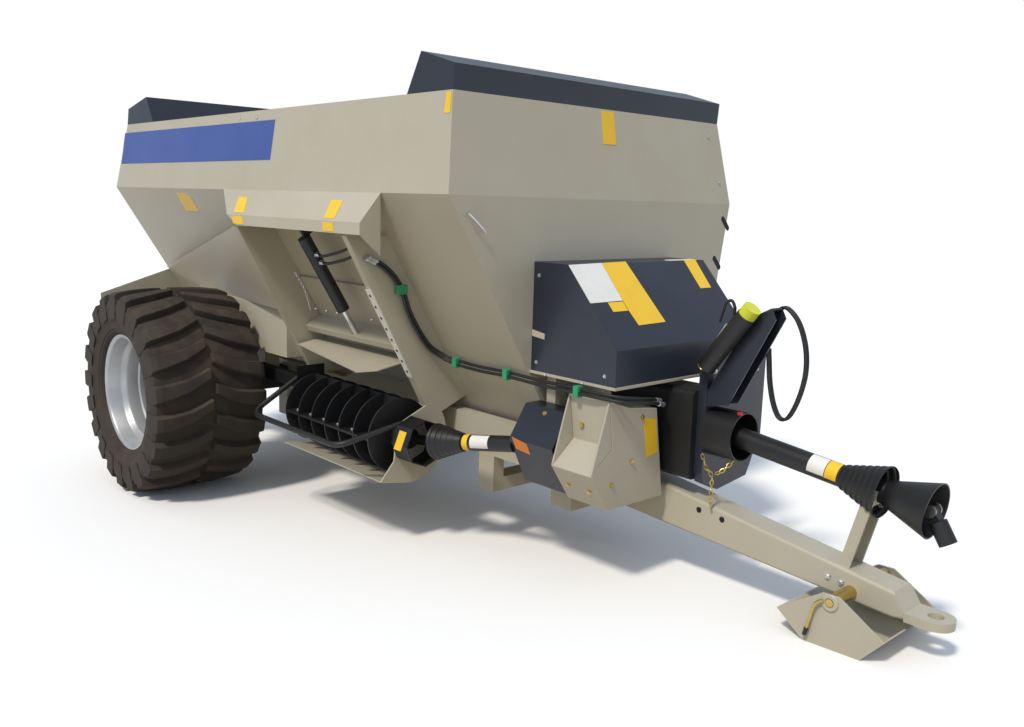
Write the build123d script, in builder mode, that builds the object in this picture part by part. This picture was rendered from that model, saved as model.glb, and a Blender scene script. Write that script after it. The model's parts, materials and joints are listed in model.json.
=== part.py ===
from build123d import *
from math import atan2, asin, cos, degrees, hypot, pi, radians, sin, tan
import os

# A single-axle trailed muck spreader with side discharge, parked on its stand.
# Machine frame while it is modelled: X forward along the level chassis, Y to the left, Z up.
# X = 0 is the face of the hopper's front wall. At the end every piece is pitched nose down
# about the axle until tyres and stand share one floor at Z = 0.

# ---------------------------------------------------------------- driving sizes, mm
WALL = 5                    # steel sheet of the hopper
BIN_LENGTH = 3296           # front wall to rear wall, outside, at the crease
CREASE_Z = 1524             # height of the hopper's widest line
CREASE_HALF = 876           # half the hopper's width there
RIM_Z = 1901                # top edge of the hopper
RIM_INSET = 61              # how far each wall leans in above the crease
TROUGH_AXIS_Z = 570         # axis of the auger
TROUGH_R = 251              # outer radius of the trough, which the lower walls run into
TROUGH_WALL = 6

OPEN_REAR_X = -1466         # discharge opening in the right wall
OPEN_FRONT_X = -660
OPEN_LOW_Z = 640
OPEN_HIGH_Z = 830

RIB_REAR_X = -1495          # front faces of the two ribs that frame the door
RIB_FRONT_X = -540
RIB_PLATE = 8
RIB_FLANGE = 36             # folded outer edge of each rib
RIB_TOP_Z = 1350
RIB_TOP_DEPTH = 196         # sideways, from the wall
RIB_LOW_Z = 600
RIB_LOW_DEPTH = 242

HOOD_REAR_X = -1815         # hood over the door, on the crease
HOOD_FRONT_X = -430
HOOD_OUT = 98               # how far its fold stands out from the crease
HOOD_DROP = 118             # fold below the crease
HOOD_LIP = 48
HOOD_REAR_RUN = 330         # how far its rear end slopes in, down to the lip
HOOD_END_DROP = 248         # its front end plate hangs this far below the crease
HOOD_PLATE = 4

DOOR_PLATE = 8
DOOR_GAP = 6                # between the wall and the sliding door
DOOR_MARGIN = 30            # door edge past the opening's edge, along X
DOOR_SIDE_GAP = 5           # door edge to the rear rib
DOOR_LOW_Z = 636
DOOR_HIGH_Z = 1110
LEDGE_Z = 915               # tray across the door that its ram pulls on
LEDGE_OUT = 120
LEDGE_LIP = 22
LEDGE_PLATE = 6

RAM_X = -1040
RAM_STAND = 100             # ram axis from the wall, square to it
RAM_BARREL_R = 30
RAM_ROD_R = 14
RAM_BARREL_LOW_Z = 1035
RAM_BARREL_HIGH_Z = 1372
RAM_CLEAR = 1
RAM_CAP = 28                # solid end of the barrel
RAM_OVERLAP = 60            # rod inside the barrel with the door shut
RAM_LUG = 16
RAM_LUG_LENGTH = 60

ROTOR_Y = -635
ROTOR_Z = 462
ROTOR_R = 168
ROTOR_REAR_X = -1346        # outer faces of the first and the last disc
ROTOR_FRONT_X = -622
ROTOR_DISCS = 7
ROTOR_DISC = 8
ROTOR_SHAFT_R = 45
ROTOR_PADDLE = 70           # how far a paddle reaches in from the disc's edge
ROTOR_PADDLE_PLATE = 10
ROTOR_PADDLES = 4
ROTOR_TIP = 2               # disc edge past the paddles
ROTOR_END = 20              # shaft past its rear bearing
HOUSING_GAP = 26            # rotor to housing
HOUSING_PLATE = 5
HOUSING_REAR_X = -1390
HOUSING_TOP_ANGLE = 32      # where its arc ends beside the hopper, from level
MOUTH_DROP = 14             # its upper edge below the opening
HOUSING_LOW_ANGLE = -100    # where it turns into the flat lip
HOUSING_LIP_Y = -790
HOUSING_LIP_Z = 292
END_PLATE_OUTLINE = ((-722, 372), (-712, 470), (-672, 548))
REAR_BEARING_R = 78
BEARING_CLEAR = 1
SIDE_BEAM = 60              # square beam from the stub axle to the rotor's rear bearing
SIDE_BEAM_IN = 20
INDICATOR_PLATE = 5         # scale beside the door
INDICATOR_WIDTH = 34
INDICATOR_HIGH_Z = 1128
INDICATOR_LOW_Z = 738
RAIL_TUBE_R = 13            # bent tube that guards the rotor
GUARD_OUT_Y = -950
GUARD_OUT_Z = 455
GUARD_FRONT_X = -640
GUARD_BEND = 70
GUARD_TOP_Y = -640
GUARD_TOP_Z = 640
GUARD_END_Y = -600
GUARD_END_Z = 552

FLAP_PLATE = 5              # deflector over the rotor
FLAP_REAR_X = -1470
FLAP_FRONT_X = -680
FLAP_REACH = 178
FLAP_REACH_FRONT = 300
FLAP_Z = 792
FLAP_STAND = 56             # hinge axis from the wall, sideways
FLAP_ROD_R = 9
FLAP_KNUCKLE_R = 15
FLAP_CLEAR = 0.5
FLAP_DROOP = 9              # degrees below level
FLAP_NOTCH = 70

AUGER_SHAFT_R = 57
AUGER_GAP = 14              # flight to trough
AUGER_PLATE = 10
AUGER_PITCH = 370
AUGER_TURNS = 8
AUGER_END_GAP = 0.3         # shaft to the end walls that carry it

AXLE_X = -2161
AXLE_Z = 467
TYRE_R = 538
TYRE_W = 584
TRACK_HALF = 1030
TYRE_CROWN = 22             # tread's fall from its middle to the shoulder
TYRE_SHOULDER = 30
TYRE_SIDE = 22
TYRE_TREAD = 50
TYRE_BEAD = 34
TYRE_RISE = 1               # sidewall leaves the rim just past its flange
BEAD_R = 286                # tyre bore on the rim
FLANGE_R = 305
RIM_W = 500
RIM_SHEET = 9
RIM_SEAT = 46
RIM_STEP = 60
RIM_ROLL = 4                # rolled edge of the rim past its sheet
WELL_R = 262
DISC_DEPTH = 262            # wheel disc behind the outer flange
DISC_PLATE = 14
HUB_R = 88
HUB_LENGTH = 150
SPINDLE_R = 40
SPINDLE_GAP = 1
SPINDLE_COLLAR = 12
AXLE_BEAM = 120             # square section of the stub axles

AXLE_BOX_GAP = 48           # tyre to the box between hopper and stub axle
AXLE_BOX_LOW_Z = 686
AXLE_BOX_HIGH_Z = 938
AXLE_BOX_REAR_X = -2700
AXLE_BOX_SHEET = 6
AXLE_POST = 90              # square post from the stub axle up to that box

RAIL_IN = 312               # inner face of each chassis rail from the centre line
RAIL_WIDTH = 60
RAIL_LOW_Z = 396
RAIL_HEIGHT = 164
RAIL_REAR_X = -3250
CROSS_LOW_Z = 232
CROSS_HEIGHT = 60
CROSS_WIDTH = 100
CROSS_POSITIONS = (-3050, -2161, -1480, -330)

FRONT_BEAM_GAP = 20         # hopper to the cross beam before it
FRONT_BEAM = 120
FRONT_BEAM_DROP = 30        # its top below the rails' top

BAR_WIDTH = 130             # drawbar
BAR_ROOT_LOW_Z = 244
BAR_ROOT_HIGH_Z = 428
BAR_TIP_X = 1400
BAR_TIP_LOW_Z = 164
BAR_TIP_HIGH_Z = 256
BAR_NOSE_X = 1440
BAR_NOSE_Z = 194
BAR_ROUND = 12
BAR_CHIN = 6
EYE_X = 1520
EYE_Z = 179
EYE_R = 62
EYE_BORE_R = 26
EYE_PLATE = 30

STAND_PIVOT_X = 1251
STAND_PIVOT_Z = 205
STAND_DROP = 166            # pivot to floor
STAND_HALF = 202
STAND_PLATE = 8
STAND_FOOT_REAR = -96       # floor edge, from the pivot
STAND_FOOT_FRONT = 113
STAND_WING_REAR = -200
STAND_WING_FRONT = 192
STAND_WING_UP = 86          # wing corners above the floor
STAND_TOP_UP = 192          # top corner above the floor
STAND_PIN_R = 14
STAND_GAP = 8
STAND_PIN_CLEAR = 0.5
STAND_SLEEVE_R = 24
STAND_TOP_HALF = 30

COVER_HALF = 433            # black cover of the main drive
COVER_LOW_Z = 834
COVER_TOP_Z = 1273
COVER_ROOF = 185
COVER_FACE = 453
COVER_FOLD_Z = 972
COVER_SHEET = 4
SHELF_PLATE = 10
SHELF_MARGIN = 8
SHELF_LEG = 50
SHELF_LEG_X = 60

CASE_REAR_X = 240           # beige gear case on the right
CASE_FRONT_X = 450
CASE_SHEET = 8
CASE_OUTLINE = ((-173, 724), (-339, 745), (-455, 786), (-541, 508), (-439, 358), (-110, 355))

BOX_REAR_X = 0              # black box round the side drive
BOX_OUTLINE = ((-372, 700), (-455, 700), (-541, 566), (-446, 372), (-372, 372))

SHAFT_REAR = (-402, -597, 473)      # side drive guard, its rear and front ends
SHAFT_FRONT = (-10, -500, 530)
SHAFT_TUBE_R = 34
SHAFT_CONE_R = 76
SHAFT_CONE = 150

BELL_FLAT_COUNT = 8
BELL_R = 104                # octagonal guard at the rotor's drive end
BELL_SHEET = 5
BELL_LENGTH = 112
SHAFT_BOX_CLEAR = 2.2
STUB_R = 22                 # drive stubs inside the guards
STUB_START = 12
FRONT_STUB_X = 4
PTO_JOINT_GAP = 3
GEARBOX_ROUND = 24
GEARBOX_FRONT_X = 560
GEARBOX_HALF = 92
GEARBOX_LOW_Z = 440
GEARBOX_HIGH_Z = 800
GUARD_X = 600               # face of the black guard before the gearbox
GUARD_OUTLINE = ((-60, 930), (-60, 470), (-50, 432), (50, 388), (250, 412), (338, 580), (338, 930))

PTO_X = 690                 # rear joint of the drive shaft
PTO_Z = 640
PTO_END_X = 1318
PTO_END_Z = 566
PTO_TUBE_R = 41
PTO_CONE = 165
PTO_CONE_R = 98
PTO_CONE_SHEET = 5
PTO_BELL_R = 96
PTO_BELL_X = 742
YOKE_R = 30
YOKE_DROOP = 58             # degrees below the shaft
YOKE_BACK = 12              # joint cross behind the cone's rim
YOKE_LENGTH = 118
YOKE_EYE = 40               # from the cross to the yoke's solid hub
YOKE_BORE_R = 17.5
YOKE_BORE = 75
YOKE_TONGUE = 34
YOKE_CHEEK = 8
YOKE_GAP = 0.5
CROSS_PIN_R = 9
PTO_TUBE_SHEET = 5

CRADLE_X = 1190
CRADLE_WIDTH = 40
CRADLE_PLATE = 8
CRADLE_LEAN = 14            # degrees
CRADLE_GAP = 0.3
CRADLE_SADDLE = 16          # plate under the shaft

POST_OUTLINE = ((600, 745), (697, 765), (873, 1112), (851, 1152), (775, 1112), (600, 805))
POST_RIGHT_Y = -58          # channel that holds up the hoses
POST_LEFT_Y = 14
POST_SHEET = 6
DOC_R = 37                  # tube for papers, on the post's right
DOC_LOW = (612, 905)
DOC_HIGH = (775, 1120)
DOC_CAP = 38
DOC_CAP_LIP = 3

SPILL_REAR_X = -345         # foot of the front spill guard
SPILL_RIDGE_Z = 2054
SPILL_LIP_Z = 1995
SPILL_RIDGE_X = -256
SPILL_FACE_X = -54
SPILL_SHEET = 4
TAIL_FRONT_X = -2840        # foot of the rear spill guard
TAIL_RIDGE_X = -2930
TAIL_RIDGE_Z = 2047
TAIL_LIP = 84               # its lip, forward of the rear wall's crease
TAIL_LIP_Z = 1992

LAMP_PLATE = 6
LAMP_OUT = 1000
LAMP_TOP_Z = 1010
LAMP_EDGE_Z = 870
LAMP_LOW_Z = 650
LAMP_R = 46
LAMP_DEPTH = 40
LAMP_EDGE = 22
LAMP_PITCH = 118
FAIRING_BACK_Z = 1023       # where the fairing meets the hopper's rear corner
FAIRING_SHEET = 4

GUSSET_PLATE = 6            # plate at the hopper's front left corner
GUSSET_TAPER = 68
GUSSET_LOW_Z = 1130

# ---------------------------------------------------------------- worked-out sizes
crease_rise = CREASE_Z - TROUGH_AXIS_Z
slope_angle = atan2(CREASE_HALF, crease_rise) - asin(TROUGH_R / hypot(CREASE_HALF, crease_rise))
side_slope = tan(slope_angle)                   # lower wall: sideways run for each unit down
slope_long = hypot(side_slope, 1)
RIM_HALF = CREASE_HALF - RIM_INSET
trough_inner_r = TROUGH_R - TROUGH_WALL
seam_z = TROUGH_AXIS_Z - TROUGH_R * sin(slope_angle)
seam_y = TROUGH_R * cos(slope_angle)
axle_box_y = TRACK_HALF - TYRE_W / 2 - AXLE_BOX_GAP
park_drop = AXLE_Z - STAND_PIVOT_Z
park_run = STAND_PIVOT_X - AXLE_X
park_pitch = degrees(asin((TYRE_R - STAND_DROP) / hypot(park_run, park_drop)) - atan2(park_drop, park_run))
housing_r = ROTOR_R + HOUSING_GAP
front_beam_x = FRONT_BEAM_GAP + FRONT_BEAM


def wall_y(z, outward=0.0):
    """Distance of the lower side wall's outer face from the centre line, moved out square to it."""
    return CREASE_HALF - side_slope * (CREASE_Z - z) + outward * slope_long


def prism_x(points, x_from, x_to, mode=Mode.ADD):
    """A Y-Z outline carried along X."""
    with BuildSketch(Plane.YZ.offset(x_from)) as outline:
        with BuildLine():
            Polyline(*points, close=True)
        make_face()
    extrude(outline.sketch, amount=x_to - x_from, mode=mode)


def prism_y(points, y_from, y_to, mode=Mode.ADD):
    """An X-Z outline carried along Y."""
    with BuildSketch(Plane.XZ.offset(-y_to)) as outline:
        with BuildLine():
            Polyline(*points, close=True)
        make_face()
    extrude(outline.sketch, amount=y_to - y_from, mode=mode)


def rod(start, end, radius, mode=Mode.ADD):
    """A round bar from one point to another."""
    way = Vector(*end) - Vector(*start)
    with BuildSketch(Plane(origin=start, z_dir=way)) as ring:
        Circle(radius)
    extrude(ring.sketch, amount=way.length, mode=mode)


pieces = {}

# ---------------------------------------------------------------- hopper
lean = RIM_INSET / (RIM_Z - CREASE_Z)
lean_long = hypot(lean, 1)
floor_z = TROUGH_AXIS_Z - TROUGH_R
side_crease_z = CREASE_Z + WALL * (slope_long - lean_long) / (side_slope + lean)
end_crease_z = CREASE_Z + WALL * (1 - lean_long) / lean
rear_x = -BIN_LENGTH


def side_wall_outline(side):
    """The bent side wall, cut square to itself where the trough starts."""
    return [(side * seam_y, seam_z), (side * CREASE_HALF, CREASE_Z), (side * RIM_HALF, RIM_Z),
            (side * (RIM_HALF - WALL * lean_long), RIM_Z),
            (side * wall_y(side_crease_z, -WALL), side_crease_z),
            (side * (seam_y - WALL * cos(slope_angle)), seam_z + WALL * sin(slope_angle))]


def end_wall_outline(side):
    """The bent front (+1) or rear (-1) wall, in X and Z."""
    face = 0 if side > 0 else rear_x
    return [(face, floor_z), (face, CREASE_Z), (face - side * RIM_INSET, RIM_Z),
            (face - side * (RIM_INSET + WALL * lean_long), RIM_Z),
            (face - side * WALL, end_crease_z), (face - side * WALL, floor_z)]


def inside_ends():
    """Keeps what lies between the inner faces of the front and the rear wall."""
    front, rear = end_wall_outline(1)[3:], end_wall_outline(-1)[3:]
    prism_y(front + rear[::-1], -CREASE_HALF, CREASE_HALF, Mode.INTERSECT)


def end_wall(side):
    """An end wall with the hopper's whole outer section, trough included."""
    prism_y(end_wall_outline(side), -CREASE_HALF, CREASE_HALF)
    with BuildSketch(Plane.YZ.offset(rear_x)) as section:
        with BuildLine():
            Polyline((-seam_y, seam_z), (-CREASE_HALF, CREASE_Z), (-RIM_HALF, RIM_Z),
                     (RIM_HALF, RIM_Z), (CREASE_HALF, CREASE_Z), (seam_y, seam_z))
            ThreePointArc((seam_y, seam_z), (0, floor_z), (-seam_y, seam_z))
        make_face()
    extrude(section.sketch, amount=BIN_LENGTH, mode=Mode.INTERSECT)


with BuildPart() as hopper_right_panel:
    prism_x(side_wall_outline(-1), rear_x, 0)
    inside_ends()
    prism_y([(OPEN_REAR_X, OPEN_LOW_Z), (OPEN_FRONT_X, OPEN_LOW_Z),
             (OPEN_FRONT_X, OPEN_HIGH_Z), (OPEN_REAR_X, OPEN_HIGH_Z)], -CREASE_HALF, 0, Mode.SUBTRACT)
pieces["hopper_right_panel"] = hopper_right_panel

with BuildPart() as hopper_left_panel:
    prism_x(side_wall_outline(1), rear_x, 0)
    inside_ends()
pieces["hopper_left_panel"] = hopper_left_panel

with BuildPart() as hopper_front_panel:
    end_wall(1)
pieces["hopper_front_panel"] = hopper_front_panel

with BuildPart() as hopper_rear_panel:
    end_wall(-1)
pieces["hopper_rear_panel"] = hopper_rear_panel

with BuildPart() as auger_trough:
    with BuildSketch(Plane.YZ.offset(rear_x + WALL)) as trough_band:
        with BuildLine():
            ThreePointArc((-seam_y, seam_z), (0, floor_z), (seam_y, seam_z))
            inner_y = seam_y - TROUGH_WALL * cos(slope_angle)
            inner_z = seam_z + TROUGH_WALL * sin(slope_angle)
            Line((seam_y, seam_z), (inner_y, inner_z))
            ThreePointArc((inner_y, inner_z), (0, floor_z + TROUGH_WALL), (-inner_y, inner_z))
            Line((-inner_y, inner_z), (-seam_y, seam_z))
        make_face()
    extrude(amount=BIN_LENGTH - 2 * WALL)
pieces["auger_trough"] = auger_trough

# ---------------------------------------------------------------- spill guards on the rim

with BuildPart() as front_spill_guard:
    prism_y([(-RIM_INSET, RIM_Z), (SPILL_FACE_X, SPILL_LIP_Z), (SPILL_RIDGE_X, SPILL_RIDGE_Z),
             (SPILL_REAR_X, RIM_Z)], -RIM_HALF, RIM_HALF)
    prism_y([(-RIM_INSET - SPILL_SHEET, RIM_Z), (SPILL_FACE_X - SPILL_SHEET, SPILL_LIP_Z - SPILL_SHEET),
             (SPILL_RIDGE_X, SPILL_RIDGE_Z - SPILL_SHEET), (SPILL_REAR_X + 2 * SPILL_SHEET, RIM_Z)],
            -RIM_HALF + SPILL_SHEET, RIM_HALF - SPILL_SHEET, Mode.SUBTRACT)
pieces["front_spill_guard"] = front_spill_guard

with BuildPart() as rear_spill_guard:
    prism_y([(rear_x + RIM_INSET, RIM_Z), (rear_x + TAIL_LIP, TAIL_LIP_Z), (TAIL_RIDGE_X, TAIL_RIDGE_Z),
             (TAIL_FRONT_X, RIM_Z)], -RIM_HALF, RIM_HALF)
    prism_y([(rear_x + RIM_INSET + SPILL_SHEET, RIM_Z),
             (rear_x + TAIL_LIP + SPILL_SHEET, TAIL_LIP_Z - SPILL_SHEET),
             (TAIL_RIDGE_X, TAIL_RIDGE_Z - SPILL_SHEET), (TAIL_FRONT_X - 2 * SPILL_SHEET, RIM_Z)],
            -RIM_HALF + SPILL_SHEET, RIM_HALF - SPILL_SHEET, Mode.SUBTRACT)
pieces["rear_spill_guard"] = rear_spill_guard

# ---------------------------------------------------------------- chassis
axle_top_z = AXLE_Z + AXLE_BEAM / 2
rail_top_z = RAIL_LOW_Z + RAIL_HEIGHT
rail_out = RAIL_IN + RAIL_WIDTH
cross_top_z = CROSS_LOW_Z + CROSS_HEIGHT

with BuildPart() as chassis_rails:
    for side in (-1, 1):
        with Locations(((RAIL_REAR_X + front_beam_x) / 2, side * (RAIL_IN + rail_out) / 2,
                        (RAIL_LOW_Z + rail_top_z) / 2)):
            Box(front_beam_x - RAIL_REAR_X, RAIL_WIDTH, RAIL_HEIGHT)
    for cross_x in CROSS_POSITIONS:
        with Locations((cross_x, 0, (CROSS_LOW_Z + cross_top_z) / 2)):
            Box(CROSS_WIDTH, 2 * rail_out, CROSS_HEIGHT)
        for side in (-1, 1):
            with Locations((cross_x, side * (RAIL_IN + rail_out) / 2, (cross_top_z + RAIL_LOW_Z) / 2)):
                Box(CROSS_WIDTH, RAIL_WIDTH, RAIL_LOW_Z - cross_top_z)
    beam_top_z = rail_top_z - FRONT_BEAM_DROP
    with Locations((FRONT_BEAM_GAP + FRONT_BEAM / 2, 0, (BAR_ROOT_LOW_Z + beam_top_z) / 2)):
        Box(FRONT_BEAM, 2 * RAIL_IN, beam_top_z - BAR_ROOT_LOW_Z)
pieces["chassis_rails"] = chassis_rails

hub_inner_y = TRACK_HALF + RIM_W / 2 - DISC_DEPTH - HUB_LENGTH / 2
with BuildPart() as axle_beam:
    for side in (-1, 1):
        beam_end = hub_inner_y - SPINDLE_COLLAR
        with Locations((AXLE_X, side * (rail_out + beam_end) / 2, AXLE_Z)):
            Box(AXLE_BEAM, beam_end - rail_out, AXLE_BEAM)
        rod((AXLE_X, side * beam_end, AXLE_Z), (AXLE_X, side * (hub_inner_y - SPINDLE_GAP), AXLE_Z),
            SPINDLE_R + SPINDLE_COLLAR)
        rod((AXLE_X, side * beam_end, AXLE_Z), (AXLE_X, side * (hub_inner_y + HUB_LENGTH), AXLE_Z), SPINDLE_R)
pieces["axle_beam"] = axle_beam

box_front_x = RIB_REAR_X - RIB_FLANGE
for side, name in ((-1, "right"), (1, "left")):
    with BuildPart() as axle_box:
        box_low, box_high = AXLE_BOX_LOW_Z, AXLE_BOX_HIGH_Z
        prism_x([(side * wall_y(box_low), box_low), (side * wall_y(box_high), box_high),
                 (side * axle_box_y, box_high), (side * axle_box_y, box_low)],
                AXLE_BOX_REAR_X, box_front_x)
        prism_x([(side * wall_y(box_low + AXLE_BOX_SHEET, AXLE_BOX_SHEET), box_low + AXLE_BOX_SHEET),
                 (side * wall_y(box_high - AXLE_BOX_SHEET, AXLE_BOX_SHEET), box_high - AXLE_BOX_SHEET),
                 (side * (axle_box_y - AXLE_BOX_SHEET), box_high - AXLE_BOX_SHEET),
                 (side * (axle_box_y - AXLE_BOX_SHEET), box_low + AXLE_BOX_SHEET)],
                AXLE_BOX_REAR_X + AXLE_BOX_SHEET, box_front_x - AXLE_BOX_SHEET, Mode.SUBTRACT)
        with Locations((AXLE_X, side * (rail_out + AXLE_POST), (axle_top_z + box_low) / 2)):
            Box(AXLE_POST, AXLE_POST, box_low - axle_top_z)
    pieces[f"axle_box_{name}"] = axle_box

# ---------------------------------------------------------------- drawbar
with BuildPart() as drawbar:
    prism_y([(front_beam_x, BAR_ROOT_LOW_Z), (BAR_TIP_X, BAR_TIP_LOW_Z),
             (BAR_NOSE_X, BAR_TIP_LOW_Z + BAR_CHIN), (BAR_NOSE_X, BAR_NOSE_Z), (BAR_TIP_X, BAR_TIP_HIGH_Z), (front_beam_x, BAR_ROOT_HIGH_Z)],
            -BAR_WIDTH / 2, BAR_WIDTH / 2)
    fillet(drawbar.edges().filter_by(lambda e: abs(e.tangent_at(0.5).X) > 0.9), radius=BAR_ROUND)
pieces["drawbar"] = drawbar

with BuildPart() as towing_eye:
    with BuildSketch(Plane.XY.offset(EYE_Z - EYE_PLATE / 2)):
        with Locations((EYE_X, 0)):
            Circle(EYE_R)
        with Locations(((EYE_X + BAR_NOSE_X) / 2, 0)):
            Rectangle(EYE_X - BAR_NOSE_X, 2 * EYE_R)
        with Locations((EYE_X, 0)):
            Circle(EYE_BORE_R, mode=Mode.SUBTRACT)
    extrude(amount=EYE_PLATE)
pieces["towing_eye"] = towing_eye

# ---------------------------------------------------------------- discharge frame, housing and hood


def rib_y(z):
    """Outer edge of the ribs, on the right."""
    share = (z - RIB_LOW_Z) / (RIB_TOP_Z - RIB_LOW_Z)
    depth = RIB_LOW_DEPTH + share * (RIB_TOP_DEPTH - RIB_LOW_DEPTH)
    return -wall_y(z) - depth


def on_arc(radius, angle):
    """A point of the rotor housing's section."""
    return (ROTOR_Y + radius * cos(radians(angle)), ROTOR_Z + radius * sin(radians(angle)))


housing_out_r = housing_r + HOUSING_PLATE
housing_mid_angle = (HOUSING_TOP_ANGLE + HOUSING_LOW_ANGLE) / 2
mouth_z = OPEN_LOW_Z - MOUTH_DROP
mouth = (-wall_y(mouth_z), mouth_z)
mouth_low = (-wall_y(mouth_z - HOUSING_PLATE), mouth_z - HOUSING_PLATE)
housing_low_top = HOUSING_TOP_ANGLE - degrees(HOUSING_PLATE / housing_r)
lip = (HOUSING_LIP_Y, HOUSING_LIP_Z)
lip_low = (HOUSING_LIP_Y, HOUSING_LIP_Z - HOUSING_PLATE)

with BuildPart() as rotor_housing:
    with BuildSketch(Plane.YZ.offset(HOUSING_REAR_X)) as band:
        with BuildLine():
            Line(mouth, on_arc(housing_r, HOUSING_TOP_ANGLE))
            ThreePointArc(on_arc(housing_r, HOUSING_TOP_ANGLE), on_arc(housing_r, housing_mid_angle),
                          on_arc(housing_r, HOUSING_LOW_ANGLE))
            Polyline(on_arc(housing_r, HOUSING_LOW_ANGLE), lip, lip_low,
                     on_arc(housing_out_r, HOUSING_LOW_ANGLE))
            ThreePointArc(on_arc(housing_out_r, HOUSING_LOW_ANGLE), on_arc(housing_out_r, housing_mid_angle),
                          on_arc(housing_out_r, housing_low_top))
            Polyline(on_arc(housing_out_r, housing_low_top), mouth_low, mouth)
        make_face()
    extrude(amount=RIB_FRONT_X - RIB_PLATE - HOUSING_REAR_X)
pieces["rotor_housing"] = rotor_housing

beam_front_x = HOUSING_REAR_X - HOUSING_PLATE
with BuildPart() as rear_bearing_plate:
    with BuildSketch(Plane.YZ.offset(beam_front_x)) as bearing:
        with Locations((ROTOR_Y, ROTOR_Z)):
            Circle(REAR_BEARING_R)
        bearing_top_z = GUARD_TOP_Z + 2 * RAIL_TUBE_R
        with Locations((ROTOR_Y, (ROTOR_Z + bearing_top_z) / 2)):
            Rectangle(2 * REAR_BEARING_R, bearing_top_z - ROTOR_Z)
        with Locations((ROTOR_Y, ROTOR_Z)):
            Circle(ROTOR_SHAFT_R + BEARING_CLEAR, mode=Mode.SUBTRACT)
    extrude(amount=HOUSING_PLATE)
    with Locations(((AXLE_X + beam_front_x) / 2, ROTOR_Y + SIDE_BEAM_IN, axle_top_z + SIDE_BEAM / 2)):
        Box(beam_front_x - AXLE_X, SIDE_BEAM, SIDE_BEAM)
pieces["rear_bearing_plate"] = rear_bearing_plate

rib_outer = [(rib_y(z), z) for z in (RIB_TOP_Z, RIB_LOW_Z)]
rib_inner = [(-wall_y(RIB_LOW_Z), RIB_LOW_Z), (-wall_y(RIB_TOP_Z), RIB_TOP_Z)]
rib_fold = [(y + RIB_PLATE, z) for y, z in rib_outer]
flap_y = -wall_y(FLAP_Z) - FLAP_STAND
with BuildPart() as rear_rib:
    prism_x(rib_outer + rib_inner, RIB_REAR_X - RIB_PLATE, RIB_REAR_X)
    prism_x(rib_outer + rib_fold[::-1], RIB_REAR_X - RIB_FLANGE, RIB_REAR_X - RIB_PLATE)
pieces["rear_rib"] = rear_rib

with BuildPart() as front_end_plate:
    with BuildSketch(Plane.YZ.offset(RIB_FRONT_X - RIB_PLATE)) as front_plate:
        with BuildLine():
            Polyline(rib_inner[1], rib_outer[0], rib_outer[1], *END_PLATE_OUTLINE[::-1], lip, lip_low,
                     on_arc(housing_out_r, HOUSING_LOW_ANGLE))
            ThreePointArc(on_arc(housing_out_r, HOUSING_LOW_ANGLE), on_arc(housing_out_r, housing_mid_angle),
                          on_arc(housing_out_r, housing_low_top))
            Polyline(on_arc(housing_out_r, housing_low_top), mouth_low, rib_inner[1])
        make_face()
        with Locations((ROTOR_Y, ROTOR_Z)):
            Circle(ROTOR_SHAFT_R + BEARING_CLEAR, mode=Mode.SUBTRACT)
    extrude(amount=RIB_PLATE)
    prism_x(rib_outer + rib_fold[::-1], RIB_FRONT_X - RIB_FLANGE, RIB_FRONT_X - RIB_PLATE)
pieces["front_end_plate"] = front_end_plate

with BuildPart() as flap_rod:
    rod((RIB_REAR_X, flap_y, FLAP_Z), (RIB_FRONT_X - RIB_PLATE, flap_y, FLAP_Z), FLAP_ROD_R)
pieces["flap_rod"] = flap_rod

with BuildPart() as indicator_plate:
    scale_high = [(rib_y(z) - INDICATOR_PLATE, z) for z in (INDICATOR_HIGH_Z, INDICATOR_LOW_Z)]
    scale_low = [(rib_y(z), z) for z in (INDICATOR_LOW_Z, INDICATOR_HIGH_Z)]
    prism_x(scale_high + scale_low, RIB_FRONT_X - INDICATOR_WIDTH, RIB_FRONT_X)
pieces["indicator_plate"] = indicator_plate

fold_y, fold_z = CREASE_HALF + HOOD_OUT, CREASE_Z - HOOD_DROP
lip_z = fold_z - HOOD_LIP
hood_run = HOOD_PLATE * hypot(HOOD_OUT, HOOD_DROP) / HOOD_DROP
hood_start = hood_run / (HOOD_OUT / HOOD_DROP + side_slope)
with BuildPart() as hood_rear_end:
    prism_y([(HOOD_REAR_X, CREASE_Z), (HOOD_REAR_X + HOOD_REAR_RUN, lip_z),
             (HOOD_REAR_X + HOOD_REAR_RUN + HOOD_PLATE, lip_z), (HOOD_REAR_X + HOOD_PLATE, CREASE_Z)],
            -fold_y, 0)
    prism_x([(-CREASE_HALF, CREASE_Z), (-fold_y, fold_z), (-fold_y, lip_z), (-wall_y(lip_z), lip_z)],
            HOOD_REAR_X, HOOD_FRONT_X, Mode.INTERSECT)

with BuildPart() as door_hood:
    prism_x([(-CREASE_HALF, CREASE_Z), (-fold_y, fold_z), (-fold_y, lip_z), (-fold_y + HOOD_PLATE, lip_z),
             (-fold_y + HOOD_PLATE, fold_z), (-wall_y(CREASE_Z - hood_start), CREASE_Z - hood_start)],
            HOOD_REAR_X, HOOD_FRONT_X)
    prism_y([(HOOD_REAR_X, CREASE_Z), (HOOD_FRONT_X, CREASE_Z), (HOOD_FRONT_X, lip_z),
             (HOOD_REAR_X + HOOD_REAR_RUN, lip_z)], -fold_y, 0, Mode.INTERSECT)
    prism_x([(-CREASE_HALF, CREASE_Z), (-fold_y, fold_z), (-fold_y, lip_z),
             (-CREASE_HALF, CREASE_Z - HOOD_END_DROP)], HOOD_FRONT_X - HOOD_PLATE, HOOD_FRONT_X)
    add(hood_rear_end.part)
pieces["door_hood"] = door_hood

# ---------------------------------------------------------------- side fairing and rear lamp board


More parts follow.
